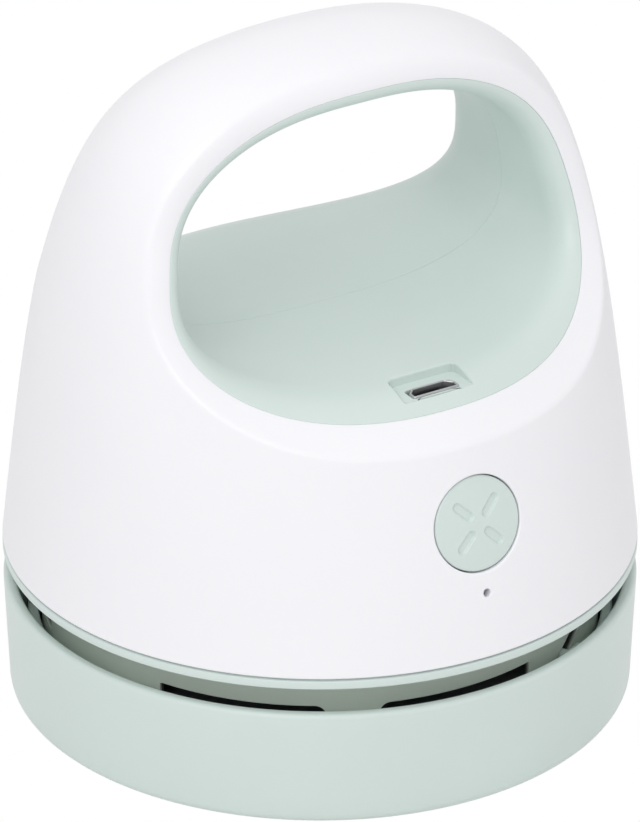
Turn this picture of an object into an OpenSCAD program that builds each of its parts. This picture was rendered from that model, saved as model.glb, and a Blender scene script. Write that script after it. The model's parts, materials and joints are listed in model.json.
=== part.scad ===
// Desktop mini vacuum cleaner with a loop handle.
// The dust cup stands on the table at z = 0, the button faces -Y and the handle runs along X.

/* [Body] */
// Radius of the white shell at its lower edge
shell_r = 46; // [44:0.5:50]
// Height of the whole cleaner
overall_h = 102; // [99:0.5:106]
// Lean of the shell's flank in the front view, degrees
front_lean = 5.4; // [3:0.2:8]
// Length of that flank before it turns into the crown
front_reach = 61; // [56:0.5:64]
// How far the crown's pull towards its shoulders stays inside the lower edge, front view
crown_in = 3.3; // [1:0.1:6]
// Lean of the shell's flank in the side view, degrees
side_lean = 11; // [9:0.2:13]
// Length of that flank before it turns into the crown
side_reach = 77; // [70:0.5:78]
// Pull of the crown towards its shoulders in the side view
crown_d = 11.5; // [10:0.1:16]
// Squareness of the level sections at the crown, 2 is an ellipse
crown_n = 2.1; // [2:0.02:2.4]
// Wall of the shell
shell_wall = 2; // [1.6:0.1:2.4]

/* [Handle opening] */
// Height of the opening's widest line
grip_z = 77.3; // [76:0.1:78]
// Width of the handle's side bars, from the opening's neck to the lower edge's reach
grip_bar = 15.9; // [15:0.1:17]
// Height of the neck above the widest line
grip_up = 17.1; // [15:0.1:17.5]
// Depth of the neck below the widest line
grip_down = 17.4; // [16:0.1:18]
// Squareness of the upper half
grip_up_n = 2.46; // [2.2:0.02:2.8]
// Squareness of the lower half
grip_down_n = 2.9; // [2.4:0.05:3.2]
// Narrowing of the opening for each millimetre of height
grip_taper = 0.0063; // [0:0.0001:0.008]
// Radius that flares the opening towards each mouth
lip_r = 11.2; // [9:0.1:12]
// Slope at which the white rim takes over from the liner, degrees
lip_angle = 40.5; // [36:0.5:45]
// Wall of the coloured liner
liner_wall = 1.5; // [1.2:0.1:1.8]
// Wall of the shell's sleeve behind the liner
sleeve_wall = 1.8; // [1.4:0.1:2]

/* [Dust cup] */
// Height of the cup
cup_h = 18; // [17:0.2:20]
// Set-back of the cup's rim from the shell's lower edge
cup_inset = 0.4; // [0:0.1:1]
// Draft of the cup's wall, from its rim to its foot
cup_draft = 0.8; // [0.4:0.1:1]
// Wall of the cup
cup_wall = 1.6; // [1.2:0.1:2]
// Rounding of the foot
foot_round = 2.5; // [1.5:0.1:3]
// Height of the hollow under the cup
under_h = 2; // [1.5:0.1:2.4]
// Thickness of the cup's floor
floor_t = 1.6; // [1.2:0.1:2]

/* [Vent] */
// Open height between the cup and the flange
vent_gap = 4.1; // [3.5:0.1:5]
// Thickness of the flange under the shell
flange_t = 1.6; // [1.2:0.1:2]
// Set-back of the flange from the shell's lower edge
flange_inset = 0.2; // [0:0.1:0.6]
// Set-back of the vent wall from the shell's lower edge
vent_recess = 5.5; // [5.3:0.1:6]
// Wall of the vent ring
vent_wall = 1.5; // [1.2:0.1:1.8]
// Angle of one exhaust window
window_angle = 34.5; // [30:0.5:36]
// Angle of the bar between the two windows of a pair
window_bar = 11.3; // [8:0.1:14]
// Wall left between the windows and the flange
window_drop = 4.1; // [3.5:0.1:5]
// Height of the windows
window_h = 3.5; // [2.5:0.1:3.8]
// Turn of the first window pair from the front, degrees
window_turn = -25.4; // [-30:0.1:-20]

/* [Fan] */
// Radius of the impeller
fan_r = 29; // [26:0.5:29.5]
// Running gap above and below the impeller's blades
fan_gap = 1.5; // [1.2:0.1:1.8]
// Thickness of a blade
blade_t = 1.1; // [0.9:0.1:1.4]
// Number of blades
blades = 9; // [7:1:11]
// Radius of the fan's inlet eye
eye_r = 14; // [12:0.5:15]

/* [Drive and power] */
// Radius of the motor can
motor_r = 12.1; // [11.5:0.1:12.5]
// Length of the motor can
motor_h = 22; // [20:0.5:23]
// Radius of the motor shaft
shaft_r = 1; // [0.9:0.05:1.1]
// Radius of the battery cell
cell_r = 7.1; // [6.8:0.1:7.2]
// Length of the battery cell
cell_l = 50; // [46:0.5:50]

/* [Button and socket] */
// Radius of the power button
button_r = 7; // [6.5:0.1:7.4]
// Height of the button's centre
button_z = 42.7; // [41:0.1:44]
// Inward travel of the button
button_travel = 0.5; // [0.3:0.1:0.6]
// Radius of the light's pinhole
pinhole_r = 0.6; // [0.5:0.05:0.8]
// Distance of the pinhole below the button's centre
pinhole_drop = 10.1; // [9.6:0.1:10.4]
// Set-back of the charging socket's centre from the shell's lower edge
socket_inset = 15.6; // [15:0.1:16]
// Width of the charging socket
socket_w = 7.5; // [7.4:0.05:7.6]

/* [Hidden] */
$fn = 64;

white = [0.96, 0.96, 0.97];
mint = [0.82, 0.88, 0.85];
grey = [0.35, 0.37, 0.38];
black = [0.12, 0.12, 0.13];
steel = [0.72, 0.73, 0.75];
brass = [0.80, 0.66, 0.36];
board_green = [0.10, 0.36, 0.22];

eps = 0.01;
loose = 0.1;         // gap between faces that only meet
clear = 0.35;        // gap between curved faces that move past each other
hull_fn = 32;

// ---- rings, from the shell's lower edge inwards ----
crown_w = shell_r - crown_in;
grip_w = 2 * (shell_r - grip_bar);
flange_r = shell_r - flange_inset;
cup_rim_r = shell_r - cup_inset;
cup_foot_r = cup_rim_r - cup_draft;
vent_r = shell_r - vent_recess;
socket_y = shell_r - socket_inset;

// ---- levels, from the table up ----
cup_floor_z = under_h + floor_t;
ledge_h = 3.3;
seal_h = 1;
seal_top_z = cup_floor_z + ledge_h + seal_h;
vent_low_z = seal_top_z + loose;
filter_low_z = vent_low_z + 0.4;
filter_h = 2.4;
fan_floor_z = filter_low_z + filter_h + 0.2;
fan_floor_t = 1.4;
blade_low_z = fan_floor_z + fan_floor_t + fan_gap;
flange_z = cup_h + vent_gap;
shell_z = flange_z + flange_t;
disc_t = 1;
disc_z = shell_z - fan_gap - 0.6 - disc_t;
blade_h = disc_z - blade_low_z;
window_top = flange_z - window_drop;
window_low = window_top - window_h;
frame_t = 2;
frame_top_z = shell_z + frame_t;

// ---- the white body's surface ----
around = 48;
levels = 16;
front_curve = [[shell_r, shell_z],
    [shell_r - front_reach * sin(front_lean), shell_z + front_reach * cos(front_lean)],
    [crown_w, overall_h], [0, overall_h]];
side_curve = [[shell_r, shell_z],
    [shell_r - side_reach * sin(side_lean), shell_z + side_reach * cos(side_lean)],
    [crown_d, overall_h], [0, overall_h]];

function bezier(p, t) =
    pow(1 - t, 3) * p[0] + 3 * pow(1 - t, 2) * t * p[1] + 3 * (1 - t) * t * t * p[2] + pow(t, 3) * p[3];

// Reach of a profile at height z, found by halving
function reach_at(p, z, lo = 0, hi = 1, n = 24) =
    let (mid = (lo + hi) / 2)
    n == 0 ? bezier(p, mid)[0]
    : bezier(p, mid)[1] < z ? reach_at(p, z, mid, hi, n - 1) : reach_at(p, z, lo, mid, n - 1);

function section_n(z) = 2 + (crown_n - 2) * max(0, z - shell_z) / (overall_h - shell_z);
function signed_pow(v, e) = sign(v) * pow(abs(v), e);

// Half the body's depth at a point of the front view
function skin_y(x, z) =
    let (n = section_n(z), q = 1 - pow(abs(x) / reach_at(front_curve, z), n))
    q <= 0 ? 0 : reach_at(side_curve, z) * pow(q, 1 / n);

// One level section of the body, drawn in by inset
function body_ring(z, inset) =
    let (a = reach_at(front_curve, z) - inset, b = reach_at(side_curve, z) - inset, n = section_n(z))
    [for (i = [0 : around - 1])
        let (t = 360 * i / around)
        [a * signed_pow(cos(t), 2 / n), b * signed_pow(sin(t), 2 / n), z]];

// ---- the handle opening's surface ----
function grip_point(i) =
    let (t = 360 * i / around, up = sin(t) > 0,
        n = up ? grip_up_n : grip_down_n,
        rise = (up ? grip_up : grip_down) * signed_pow(sin(t), 2 / n))
    [grip_w / 2 * signed_pow(cos(t), 2 / n) * (1 - grip_taper * rise), grip_z + rise];
grip = [for (i = [0 : around - 1]) grip_point(i)];
grip_normal = [for (i = [0 : around - 1])
    let (d = grip[(i + 1) % around] - grip[(i + around - 1) % around])
    [d[1], -d[0]] / norm(d)];

// A ring of the opening: flared by out, and deep under the skin that lies out from the neck by seat
function grip_ring(out, deep, seat, side) =
    [for (i = [0 : around - 1])
        let (p = grip[i] + grip_normal[i] * out, s = grip[i] + grip_normal[i] * seat)
        [p[0], side * max(skin_y(s[0], s[1]) - deep, 0.4), p[1]]];
function middle_ring(out, y) =
    [for (i = [0 : around - 1])
        let (p = grip[i] + grip_normal[i] * out)
        [p[0], y, p[1]]];

// The flare is an arc; behind a wall of thickness t it has the radius lip_r - t
function arc_out(slope, t) = lip_r - (lip_r - t) * cos(slope);
function arc_deep(slope, t) = lip_r - (lip_r - t) * sin(slope);
function arc_ring(slope, t, side) = grip_ring(arc_out(slope, t), arc_deep(slope, t), arc_out(slope, t), side);
lip_out = arc_out(lip_angle, 0);
lip_deep = arc_deep(lip_angle, 0);
rim_out = lip_out + lip_deep * tan(lip_angle);   // where the white rim meets the body's skin
past = 2;                                        // how far a cutter runs past the skin
liner_seat = liner_wall + loose;
sleeve_out = liner_seat + sleeve_wall;

// ---- lofts ----
module loft(rings) {
    m = len(rings[0]);
    n = len(rings);
    polyhedron(
        points = [for (r = rings) each r],
        faces = concat(
            [[for (i = [0 : m - 1]) i]],
            [for (k = [0 : n - 2], i = [0 : m - 1])
                [k * m + i, (k + 1) * m + i, (k + 1) * m + (i + 1) % m]],
            [for (k = [0 : n - 2], i = [0 : m - 1])
                [k * m + i, (k + 1) * m + (i + 1) % m, k * m + (i + 1) % m]],
            [[for (i = [m - 1 : -1 : 0]) (n - 1) * m + i]]));
}

// A closed tube of rings: the last ring joins the first
module ring_loft(rings) {
    m = len(rings[0]);
    n = len(rings);
    polyhedron(
        points = [for (r = rings) each r],
        faces = concat(
            [for (k = [0 : n - 1], i = [0 : m - 1])
                [k * m + i, ((k + 1) % n) * m + i, ((k + 1) % n) * m + (i + 1) % m]],
            [for (k = [0 : n - 1], i = [0 : m - 1])
                [k * m + i, ((k + 1) % n) * m + (i + 1) % m, k * m + (i + 1) % m]]));
}

module body_solid() {
    top = overall_h - 0.04;
    loft(concat(
        [for (k = [0 : levels])
            let (u = 1 - k / levels)
            body_ring(shell_z + (top - shell_z) * (1 - u * u), 0)]));
}

module body_cavity() {
    low = shell_z + eps;
    high = grip_z + 9;
    steps = 7;
    loft(concat(
        [[for (p = body_ring(low, shell_wall)) [p[0], p[1], shell_z - 1]]],
        [for (k = [0 : steps]) body_ring(low + (high - low) * k / steps, shell_wall)]));
}

// The opening as the white shell has it: rim slope, step for the liner, then the seat behind it
function mouth_rings(side) = [
    middle_ring(rim_out + past * tan(lip_angle), side * (shell_r + past)),
    grip_ring(rim_out + past * tan(lip_angle), -past, rim_out, side),
    grip_ring(lip_out, lip_deep, lip_out, side),
    arc_ring(lip_angle, liner_seat, side),
    arc_ring(lip_angle * 2 / 3, liner_seat, side),
    arc_ring(lip_angle / 3, liner_seat, side),
    arc_ring(0, liner_seat, side)];
function reversed(list) = [for (i = [len(list) - 1 : -1 : 0]) list[i]];

module shell_opening() {
    loft(concat(mouth_rings(1), [middle_ring(liner_seat, 0)], reversed(mouth_rings(-1))));
}

function sleeve_rings(side) = [
    grip_ring(arc_out(lip_angle, sleeve_out) + 12 * tan(lip_angle), arc_deep(lip_angle, sleeve_out) - 12,
        arc_out(lip_angle, sleeve_out), side),
    arc_ring(lip_angle, sleeve_out, side),
    arc_ring(lip_angle / 2, sleeve_out, side),
    arc_ring(0, sleeve_out, side)];

module shell_sleeve() {
    loft(concat(sleeve_rings(1), reversed(sleeve_rings(-1))));
}

// ---- the button's own frame: origin on the skin, +Z out along the button's axis ----
skin_step = 0.5;
button_depth = skin_y(0, button_z);
button_tilt = atan((skin_y(0, button_z - skin_step) - skin_y(0, button_z + skin_step)) / (2 * skin_step));
module at_button() {
    translate([0, -button_depth, button_z]) rotate([90 - button_tilt, 0, 0]) children();
}
board_deep = 8.5;
board_t = 1.2;
board_w = 22;
board_up = 7.5;
board_down = 14.4;
board_boss_x = 8.4;
board_boss_y = -12;
board_boss_r = 2.2;
screw_r = 1;
screw_hole_r = 0.8;
screw_play = 0.04;
screw_head_r = 1.9;
screw_head_h = 1.3;
slot_w = 2.4;            // cross slot in a screw's head
slot_t = 0.5;
slot_deep = 0.7;

// ---- screw posts that hold the shell to the frame ----
post_r = 2.8;
post_inset = 9.8;
post_ring = shell_r - post_inset;
post_angle = 20;
post_h = 12;
post_top_z = frame_top_z + post_h;
post_angles = [post_angle, 180 - post_angle, 180 + post_angle, -post_angle];
module at_posts() {
    for (a = post_angles) rotate(a) translate([post_ring, 0, 0]) children();
}
rib_t = 1.4;
rib_spread = 3.2;
rib_up = 2;
rib_h = 9;
rib_h_out = 7;

module shell_posts() {
    intersection() {
        body_solid();
        union() {
            at_posts() translate([0, 0, frame_top_z])
                cylinder(r = post_r, h = post_top_z - frame_top_z, $fn = hull_fn);
            for (a = post_angles, s = [-1, 1]) rotate(a) hull() {
                translate([post_ring, s * (post_r - rib_t / 2), frame_top_z + rib_up])
                    cylinder(d = rib_t, h = rib_h, $fn = hull_fn);
                translate([shell_r - shell_wall, s * rib_spread, frame_top_z + rib_up])
                    cylinder(d = rib_t, h = rib_h_out, $fn = hull_fn);
            }
        }
    }
}

module board_posts() {
    intersection() {
        body_solid();
        at_button() for (s = [-1, 1])
            translate([s * board_boss_x, board_boss_y, -board_deep]) cylinder(r = board_boss_r, h = board_deep);
    }
}

// ---- charging socket, mouth up in the floor of the handle opening ----
recess_w = 10.4;
recess_d = 6;
recess_round = 1.2;
recess_z = grip_z - grip_down - 1.4;
socket_d = 2.5;
socket_h = 5;
socket_wall = 0.3;
pad_w = 13;
pad_d = 8;
pad_low_z = recess_z - 1.6;
charge_board_z = recess_z - socket_h;
charge_board_w = 22;
charge_board_d = 8;
charge_board_back = 1.8;   // shift away from the front of the sleeve
charge_post_x = 9;
charge_post_r = 2;

module rounded_plate(w, d, h, r) {
    linear_extrude(height = h) {
        square([w - 2 * r, d], center = true);
        square([w, d - 2 * r], center = true);
        for (x = [-1, 1], y = [-1, 1])
            translate([x * (w / 2 - r), y * (d / 2 - r)]) circle(r = r);
    }
}

module charge_posts() {
    for (s = [-1, 1]) translate([s * charge_post_x, -socket_y, charge_board_z])
        cylinder(r = charge_post_r, h = grip_z - grip_down - charge_board_z - liner_seat - 1);
}

module upper_shell() {
    color(white) difference() {
        union() {
            difference() {
                body_solid();
                difference() {
                    body_cavity();
                    shell_sleeve();
                }
            }
            shell_posts();
            board_posts();
            charge_posts();
        }
        shell_opening();
        at_posts() translate([0, 0, frame_top_z - 1]) cylinder(r = screw_hole_r, h = post_h - 1, $fn = hull_fn);
        at_button() {
            translate([0, 0, -board_deep / 2]) cylinder(r = button_r + 0.2, h = board_deep);
            translate([0, -pinhole_drop, -board_deep / 2]) cylinder(r = pinhole_r, h = board_deep, $fn = hull_fn);
            for (s = [-1, 1]) translate([s * board_boss_x, board_boss_y, -board_deep - 1])
                cylinder(r = screw_hole_r, h = 5, $fn = hull_fn);
        }
        translate([-pad_w / 2 - loose, -socket_y - pad_d / 2 - loose, charge_board_z - 1])
            cube([pad_w + 2 * loose, pad_d + 2 * loose, grip_z - grip_down - charge_board_z]);
        for (s = [-1, 1]) translate([s * charge_post_x, -socket_y, charge_board_z - 1])
            cylinder(r = screw_hole_r, h = 4, $fn = hull_fn);
    }
}

// ---- the coloured liner, two halves that meet in the middle ----
function liner_rings(side) = concat(
    [middle_ring(0, side * loose / 2)],
    [for (k = [0 : 3]) arc_ring(lip_angle * k / 3, 0, side)],
    [for (k = [3 : -1 : 0]) arc_ring(lip_angle * k / 3, liner_wall, side)],
    [middle_ring(liner_wall, side * loose / 2)]);

module liner_front() {
    color(mint) difference() {
        union() {
            ring_loft(reversed(liner_rings(-1)));
            difference() {
                translate([-pad_w / 2, -socket_y - pad_d / 2, pad_low_z])
                    cube([pad_w, pad_d, recess_z - pad_low_z + 0.6]);
                loft(concat([middle_ring(liner_wall / 3, -loose)],
                    [for (k = [0 : 3]) arc_ring(lip_angle * k / 3, liner_wall / 3, -1)],
                    [middle_ring(lip_r, -shell_r)]));
            }
        }
        translate([0, -socket_y, recess_z]) rounded_plate(recess_w, recess_d, 4, recess_round);
        translate([0, -socket_y, pad_low_z - 1])
            rounded_plate(socket_w + 0.4, socket_d + 0.4, 4, 0.5);
    }
}

module liner_rear() {
    color(mint) ring_loft(liner_rings(1));
}

// ---- power button ----
button_flange_r = 8.6;
button_flange_deep = 3.3;
button_flange_t = 1;
button_crown_r = 43;
mark_w = 1.2;
mark_l = 3.4;
mark_ring = 3.5;
mark_deep = 0.4;
switch_h = 3.1;
switch_w = 6;
plunger_r = 1.75;
plunger_out = 0.7;
plunger_top = board_deep - switch_h - plunger_out;

module pill_outline(l, w) {
    square([l - w, w], center = true);
    for (s = [-1, 1]) translate([s * (l - w) / 2, 0]) circle(d = w);
}

module power_button() {
    color(mint) at_button() difference() {
        union() {
            intersection() {
                translate([0, 0, -button_flange_deep]) cylinder(r = button_r, h = button_flange_deep + 1);
                translate([0, 0, -button_crown_r]) rotate([90, 0, 0]) sphere(r = button_crown_r, $fn = 128);
            }
            translate([0, 0, -button_flange_deep - button_flange_t])
                cylinder(r = button_flange_r, h = button_flange_t);
            translate([0, 0, -plunger_top + loose])
                cylinder(r = 2, h = plunger_top - loose - button_flange_deep);
        }
        for (a = [48, 138, 228, 318]) rotate(a) translate([mark_ring, 0, -mark_deep])
            linear_extrude(height = 2) pill_outline(mark_l, mark_w);
    }
}

// ---- fan housing: flange, vent wall with paired windows, floor with the inlet eye ----
twist_lead = 27;          // climb of a bayonet slot for each radian of turn
slot_half = 1.35;
slot_top_z = flange_z - 2.1;
slot_top_turn = -55;
peg_r = 1;
peg_z = cup_h - 4.2;
lead_turn = 180 / PI / twist_lead;
slot_low_z = vent_low_z - 2;
peg_turn = slot_top_turn - (slot_top_z - peg_z) * lead_turn;
spigot_h = 2;
spigot_t = 1.5;
spigot_r = shell_r - shell_wall - 0.6;
fan_hole_r = fan_r + 2.5;   // opening of the flange over the impeller
eye_lip = 0.8;
eye_lip_t = 1.2;
pairs = 3;

module radial_rod(turn, z, r, from, to) {
    rotate(turn) translate([from, 0, z]) rotate([0, 90, 0]) cylinder(r = r, h = to - from, $fn = hull_fn);
}

// A window cut through the vent wall
module vent_window(turn) {
    rotate(turn - window_angle / 2) rotate_extrude(angle = window_angle)
        translate([vent_r - vent_wall - 1, window_low]) square([vent_wall + 2, window_top - window_low]);
}

// A straight slot that climbs with the turn and leaves through the wall's lower edge
module bayonet_slot(turn) {
    rise = slot_top_z - slot_low_z;
    run = 2 * (vent_r - vent_wall / 2) * sin(rise * lead_turn / 2);
    rotate(turn - rise * lead_turn / 2)
        translate([vent_r - vent_wall - 3, 0, (slot_top_z + slot_low_z) / 2])
        rotate([90, 0, 90]) linear_extrude(height = vent_wall + 5) rotate(atan2(rise, run))
        pill_outline(norm([rise, run]) + 2 * slot_half, 2 * slot_half);
}

bead_h = 0.3;
bead_t = 0.7;
spoke_w = 1.6;
eye_hub_r = 3;

module fan_housing() {
    inner_r = vent_r - vent_wall;
    color(mint) difference() {
        union() {
            rotate_extrude() {
                translate([fan_hole_r, flange_z]) square([flange_r - fan_hole_r, flange_t]);
                translate([inner_r, vent_low_z]) square([vent_wall, flange_z - vent_low_z + eps]);
                translate([eye_r, fan_floor_z]) square([inner_r - eye_r + eps, fan_floor_t]);
                translate([eye_r, fan_floor_z]) square([eye_lip_t, fan_floor_t + eye_lip]);
                translate([spigot_r - spigot_t, shell_z - eps]) square([spigot_t, spigot_h]);
            }
            for (a = [30 : 60 : 330]) rotate(a)
                translate([0, -spoke_w / 2, fan_floor_z]) cube([eye_r + 0.5, spoke_w, fan_floor_t]);
            translate([0, 0, fan_floor_z]) cylinder(r = eye_hub_r, h = fan_floor_t);
            for (a = [0 : 120 : 240]) rotate(a) rotate_extrude(angle = 10)
                translate([inner_r - bead_t, vent_low_z]) square([bead_t + eps, bead_h]);
        }
        for (p = [0 : pairs - 1], s = [-1, 1])
            vent_window(window_turn - 90 + p * 360 / pairs + s * (window_angle + window_bar) / 2);
        for (p = [0 : pairs - 1]) bayonet_slot(slot_top_turn + p * 360 / pairs);
        at_posts() translate([0, 0, flange_z - 1]) cylinder(r = screw_r + 0.2, h = flange_t + 2);
    }
}

// ---- inner frame: motor plate and battery saddles ----
frame_r = spigot_r - spigot_t - 2.4;
nose_r = 3;
motor_screw_x = 8;
cell_inset = 22;
cell_y = shell_r - cell_inset;
cell_z = frame_top_z + 1.6 + cell_r + loose;
saddle_t = 4;
saddle_x = 17;
saddle_wall = 1.4;
collar_h = 3;
collar_t = 1.5;

module inner_frame() {
    color(grey) difference() {
        union() {
            translate([0, 0, shell_z]) cylinder(r = frame_r, h = frame_t);
            for (s = [-1, 1])
                translate([s * saddle_x - saddle_t / 2, cell_y - cell_r - saddle_wall, frame_top_z - eps])
                cube([saddle_t, 2 * (cell_r + saddle_wall), cell_r + 0.5]);
            translate([0, 0, frame_top_z - eps]) difference() {
                cylinder(r = motor_r + collar_t, h = collar_h);
                translate([0, 0, -1]) cylinder(r = motor_r + loose, h = collar_h + 2);
            }
        }
        translate([-cell_l, cell_y, cell_z]) rotate([0, 90, 0]) cylinder(r = cell_r + loose, h = 2 * cell_l);
        translate([0, 0, shell_z - 1]) cylinder(r = nose_r + loose, h = frame_t + 2);
        for (s = [-1, 1]) translate([s * motor_screw_x, 0, shell_z - 1])
            cylinder(r = screw_r + 0.2, h = frame_t + 2);
        at_posts() translate([0, 0, shell_z - 1]) cylinder(r = screw_r + 0.2, h = frame_t + 2);
    }
}

// ---- motor ----
shaft_clear = 0.05;
cap_h = 2.5;
motor_top_z = frame_top_z + motor_h;
terminal_x = 7;
terminal_w = 2.2;
terminal_t = 0.5;
terminal_h = 4.2;
motor_bite = 3;          // length of thread in the piece that a screw holds to
shell_bite = 8;
board_bite = 3.5;
charge_bite = 2.5;

module motor_can() {
    edge = 1.2;
    color(steel) difference() {
        union() {
            rotate_extrude() {
                translate([0, frame_top_z]) square([motor_r, motor_h - edge]);
                translate([0, frame_top_z]) square([motor_r - edge, motor_h]);
                translate([motor_r - edge, motor_top_z - edge]) circle(r = edge);
            }
            translate([0, 0, frame_top_z - 1.5]) cylinder(r = nose_r, h = 1.5 + eps);
        }
        translate([0, 0, frame_top_z - 2]) cylinder(r = shaft_r + shaft_clear, h = motor_h + 3);
        for (s = [-1, 1]) {
            translate([s * motor_screw_x, 0, frame_top_z - 1]) cylinder(r = screw_hole_r, h = 5);
            translate([-2.5, s * motor_r - 0.5, frame_top_z + 12]) cube([5, 1, 5]);
        }
    }
}

module motor_end_cap() {
    color(black) difference() {
        union() {
            translate([0, 0, motor_top_z]) cylinder(r = motor_r - 1.6, h = cap_h - 1);
            translate([0, 0, motor_top_z]) cylinder(r = 4, h = cap_h);
        }
        translate([0, 0, motor_top_z - 1]) cylinder(r = shaft_r + shaft_clear, h = cap_h);
        for (s = [-1, 1])
            translate([s * terminal_x - terminal_t / 2 - 0.05, -terminal_w / 2 - loose, motor_top_z - 1])
            cube([terminal_t + loose, terminal_w + 2 * loose, cap_h]);
    }
}

module motor_terminals() {
    color(brass) for (s = [-1, 1]) difference() {
        translate([s * terminal_x - terminal_t / 2, -terminal_w / 2, motor_top_z + loose])
            cube([terminal_t, terminal_w, terminal_h]);
        translate([s * terminal_x - terminal_t, 0, motor_top_z + terminal_h - 1])
            rotate([0, 90, 0]) cylinder(r = 0.5, h = 2 * terminal_t);
    }
}

module screw(length) {
    difference() {
        union() {
            cylinder(r = screw_hole_r - screw_play, h = length);
            translate([0, 0, -screw_head_h]) cylinder(r = screw_head_r, h = screw_head_h);
        }
        for (a = [0, 90]) rotate(a) translate([-slot_w / 2, -slot_t / 2, -screw_head_h - slot_t])
            cube([slot_w, slot_t, slot_t + slot_deep]);
    }
}

module motor_screws() {
    color(steel) for (s = [-1, 1]) translate([s * motor_screw_x, 0, shell_z]) screw(frame_t + motor_bite);
}

module shell_screws() {
    color(steel) at_posts() translate([0, 0, flange_z]) screw(flange_t + frame_t + shell_bite);
}

// ---- rotor ----
shaft_low_z = blade_low_z + 0.8;
hub_r = 4.2;

module motor_shaft() {
    color(steel) translate([0, 0, shaft_low_z]) cylinder(r = shaft_r, h = motor_top_z + cap_h - 1.4 - shaft_low_z);
}

// Blades are arcs of a circle that fall back against the turn, seen from above
blade_arc_r = 20;
blade_arc_y = -17.4;
blade_root_r = 9;
bevel = 0.3;

module blade_outline() {
    intersection() {
        difference() {
            circle(r = fan_r);
            circle(r = blade_root_r);
        }
        translate([0, blade_arc_y]) difference() {
            circle(r = blade_arc_r);
            circle(r = blade_arc_r - blade_t);
            translate([-2 * fan_r, -fan_r]) square([2 * fan_r, 2 * fan_r]);
        }
    }
}

module impeller() {
    color(black) difference() {
        union() {
            translate([0, 0, disc_z]) cylinder(r = fan_r + bevel, h = disc_t);
            translate([0, 0, blade_low_z - bevel]) cylinder(r = hub_r, h = blade_h + bevel + eps);
            for (k = [0 : blades - 1]) rotate(360 * k / blades)
                translate([0, 0, blade_low_z]) linear_extrude(height = blade_h + eps) blade_outline();
        }
        translate([0, 0, shaft_low_z]) cylinder(r = shaft_r, h = disc_z + disc_t);
    }
}

// ---- battery ----
cell_knob = 0.8;
cell_knob_r = 2.6;
tab_w = 4;
tab_h = 8;
tab_t = 0.2;

module battery_cell() {
    rim = 0.8;
    color("orange") translate([-cell_l / 2, cell_y, cell_z]) rotate([0, 90, 0]) union() {
        rotate_extrude() {
            square([cell_r - rim, cell_l]);
            translate([0, rim]) square([cell_r, cell_l - 2 * rim]);
            for (z = [rim, cell_l - rim]) translate([cell_r - rim, z]) circle(r = rim);
        }
        translate([0, 0, cell_l - eps]) cylinder(r = cell_knob_r, h = cell_knob);
    }
}

module battery_tabs() {
    color(steel) {
        translate([cell_l / 2 + cell_knob, cell_y - tab_w / 2, cell_z - tab_w / 2]) cube([tab_t, tab_w, tab_h]);
        translate([-cell_l / 2 - tab_t, cell_y - tab_w / 2, cell_z - tab_w / 2]) cube([tab_t, tab_w, tab_h]);
    }
}

// ---- control board behind the button ----
module control_board() {
    color(board_green) at_button() difference() {
        translate([-board_w / 2, -board_down, -board_deep - board_t])
            cube([board_w, board_down + board_up, board_t]);
        for (s = [-1, 1]) translate([s * board_boss_x, board_boss_y, -board_deep - board_t - 1])
            cylinder(r = screw_r + 0.1, h = board_t + 2);
    }
}

module board_screws() {
    color(steel) at_button() for (s = [-1, 1])
        translate([s * board_boss_x, board_boss_y, -board_deep - board_t]) screw(board_t + board_bite);
}

module tact_switch() {
    color(black) at_button() difference() {
        translate([-switch_w / 2, -switch_w / 2, -board_deep]) cube([switch_w, switch_w, switch_h]);
        translate([0, 0, -board_deep + 0.6]) cylinder(r = plunger_r + clear, h = switch_h);
    }
}

module switch_plunger() {
    color("ivory") at_button() translate([0, 0, -plunger_top - 1.9]) cylinder(r = plunger_r, h = 1.9);
}

module status_led() {
    led_r = 1.5;
    led_h = 4.9;
    lens_r = 6;
    color("white") at_button() translate([0, -pinhole_drop, -board_deep]) union() {
        cylinder(r = led_r + 0.3, h = 0.9);
        intersection() {
            cylinder(r = led_r, h = led_h);
            translate([0, 0, led_h - lens_r]) rotate([90, 0, 0]) sphere(r = lens_r);
        }
    }
}

// ---- charging socket ----
module socket_outline(grow) {
    w = socket_w / 2 + grow;
    d = socket_d / 2 + grow;
    polygon([[-w, -d], [w, -d], [w, 0], [w - 1.1, d], [-w + 1.1, d], [-w, 0]]);
}

module charge_socket() {
    color(steel) translate([0, -socket_y, charge_board_z]) difference() {
        linear_extrude(height = socket_h) socket_outline(0);
        translate([0, 0, 0.4]) linear_extrude(height = socket_h) socket_outline(-socket_wall);
    }
}

module socket_core() {
    color(black) translate([0, -socket_y, charge_board_z + 0.4]) {
        linear_extrude(height = 0.8) socket_outline(-socket_wall - 0.05);
        translate([-2.2, -0.35, 0]) cube([4.4, 0.7, 4]);
    }
}

module charge_board() {
    color(board_green) translate([0, -socket_y, charge_board_z - board_t]) difference() {
        translate([-charge_board_w / 2, charge_board_back - charge_board_d / 2, 0])
            cube([charge_board_w, charge_board_d, board_t]);
        for (s = [-1, 1]) translate([s * charge_post_x, 0, -1]) cylinder(r = screw_r + 0.1, h = board_t + 2);
    }
}

module charge_board_screws() {
    color(steel) for (s = [-1, 1])
        translate([s * charge_post_x, -socket_y, charge_board_z - board_t]) screw(board_t + charge_bite);
}

// ---- filter, held by the housing's beads and keyed in the cup's ledge ----
filter_r = vent_r - vent_wall - 0.4;
filter_rim = 3;
ledge_in_r = vent_r - 3.5;
key_r = filter_r;
key_w = 4;
key_angles = [70, 190, 310];
key_web = 0.4;           // floor left under a key's notch
key_low_z = cup_floor_z + key_web + 0.3;

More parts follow.
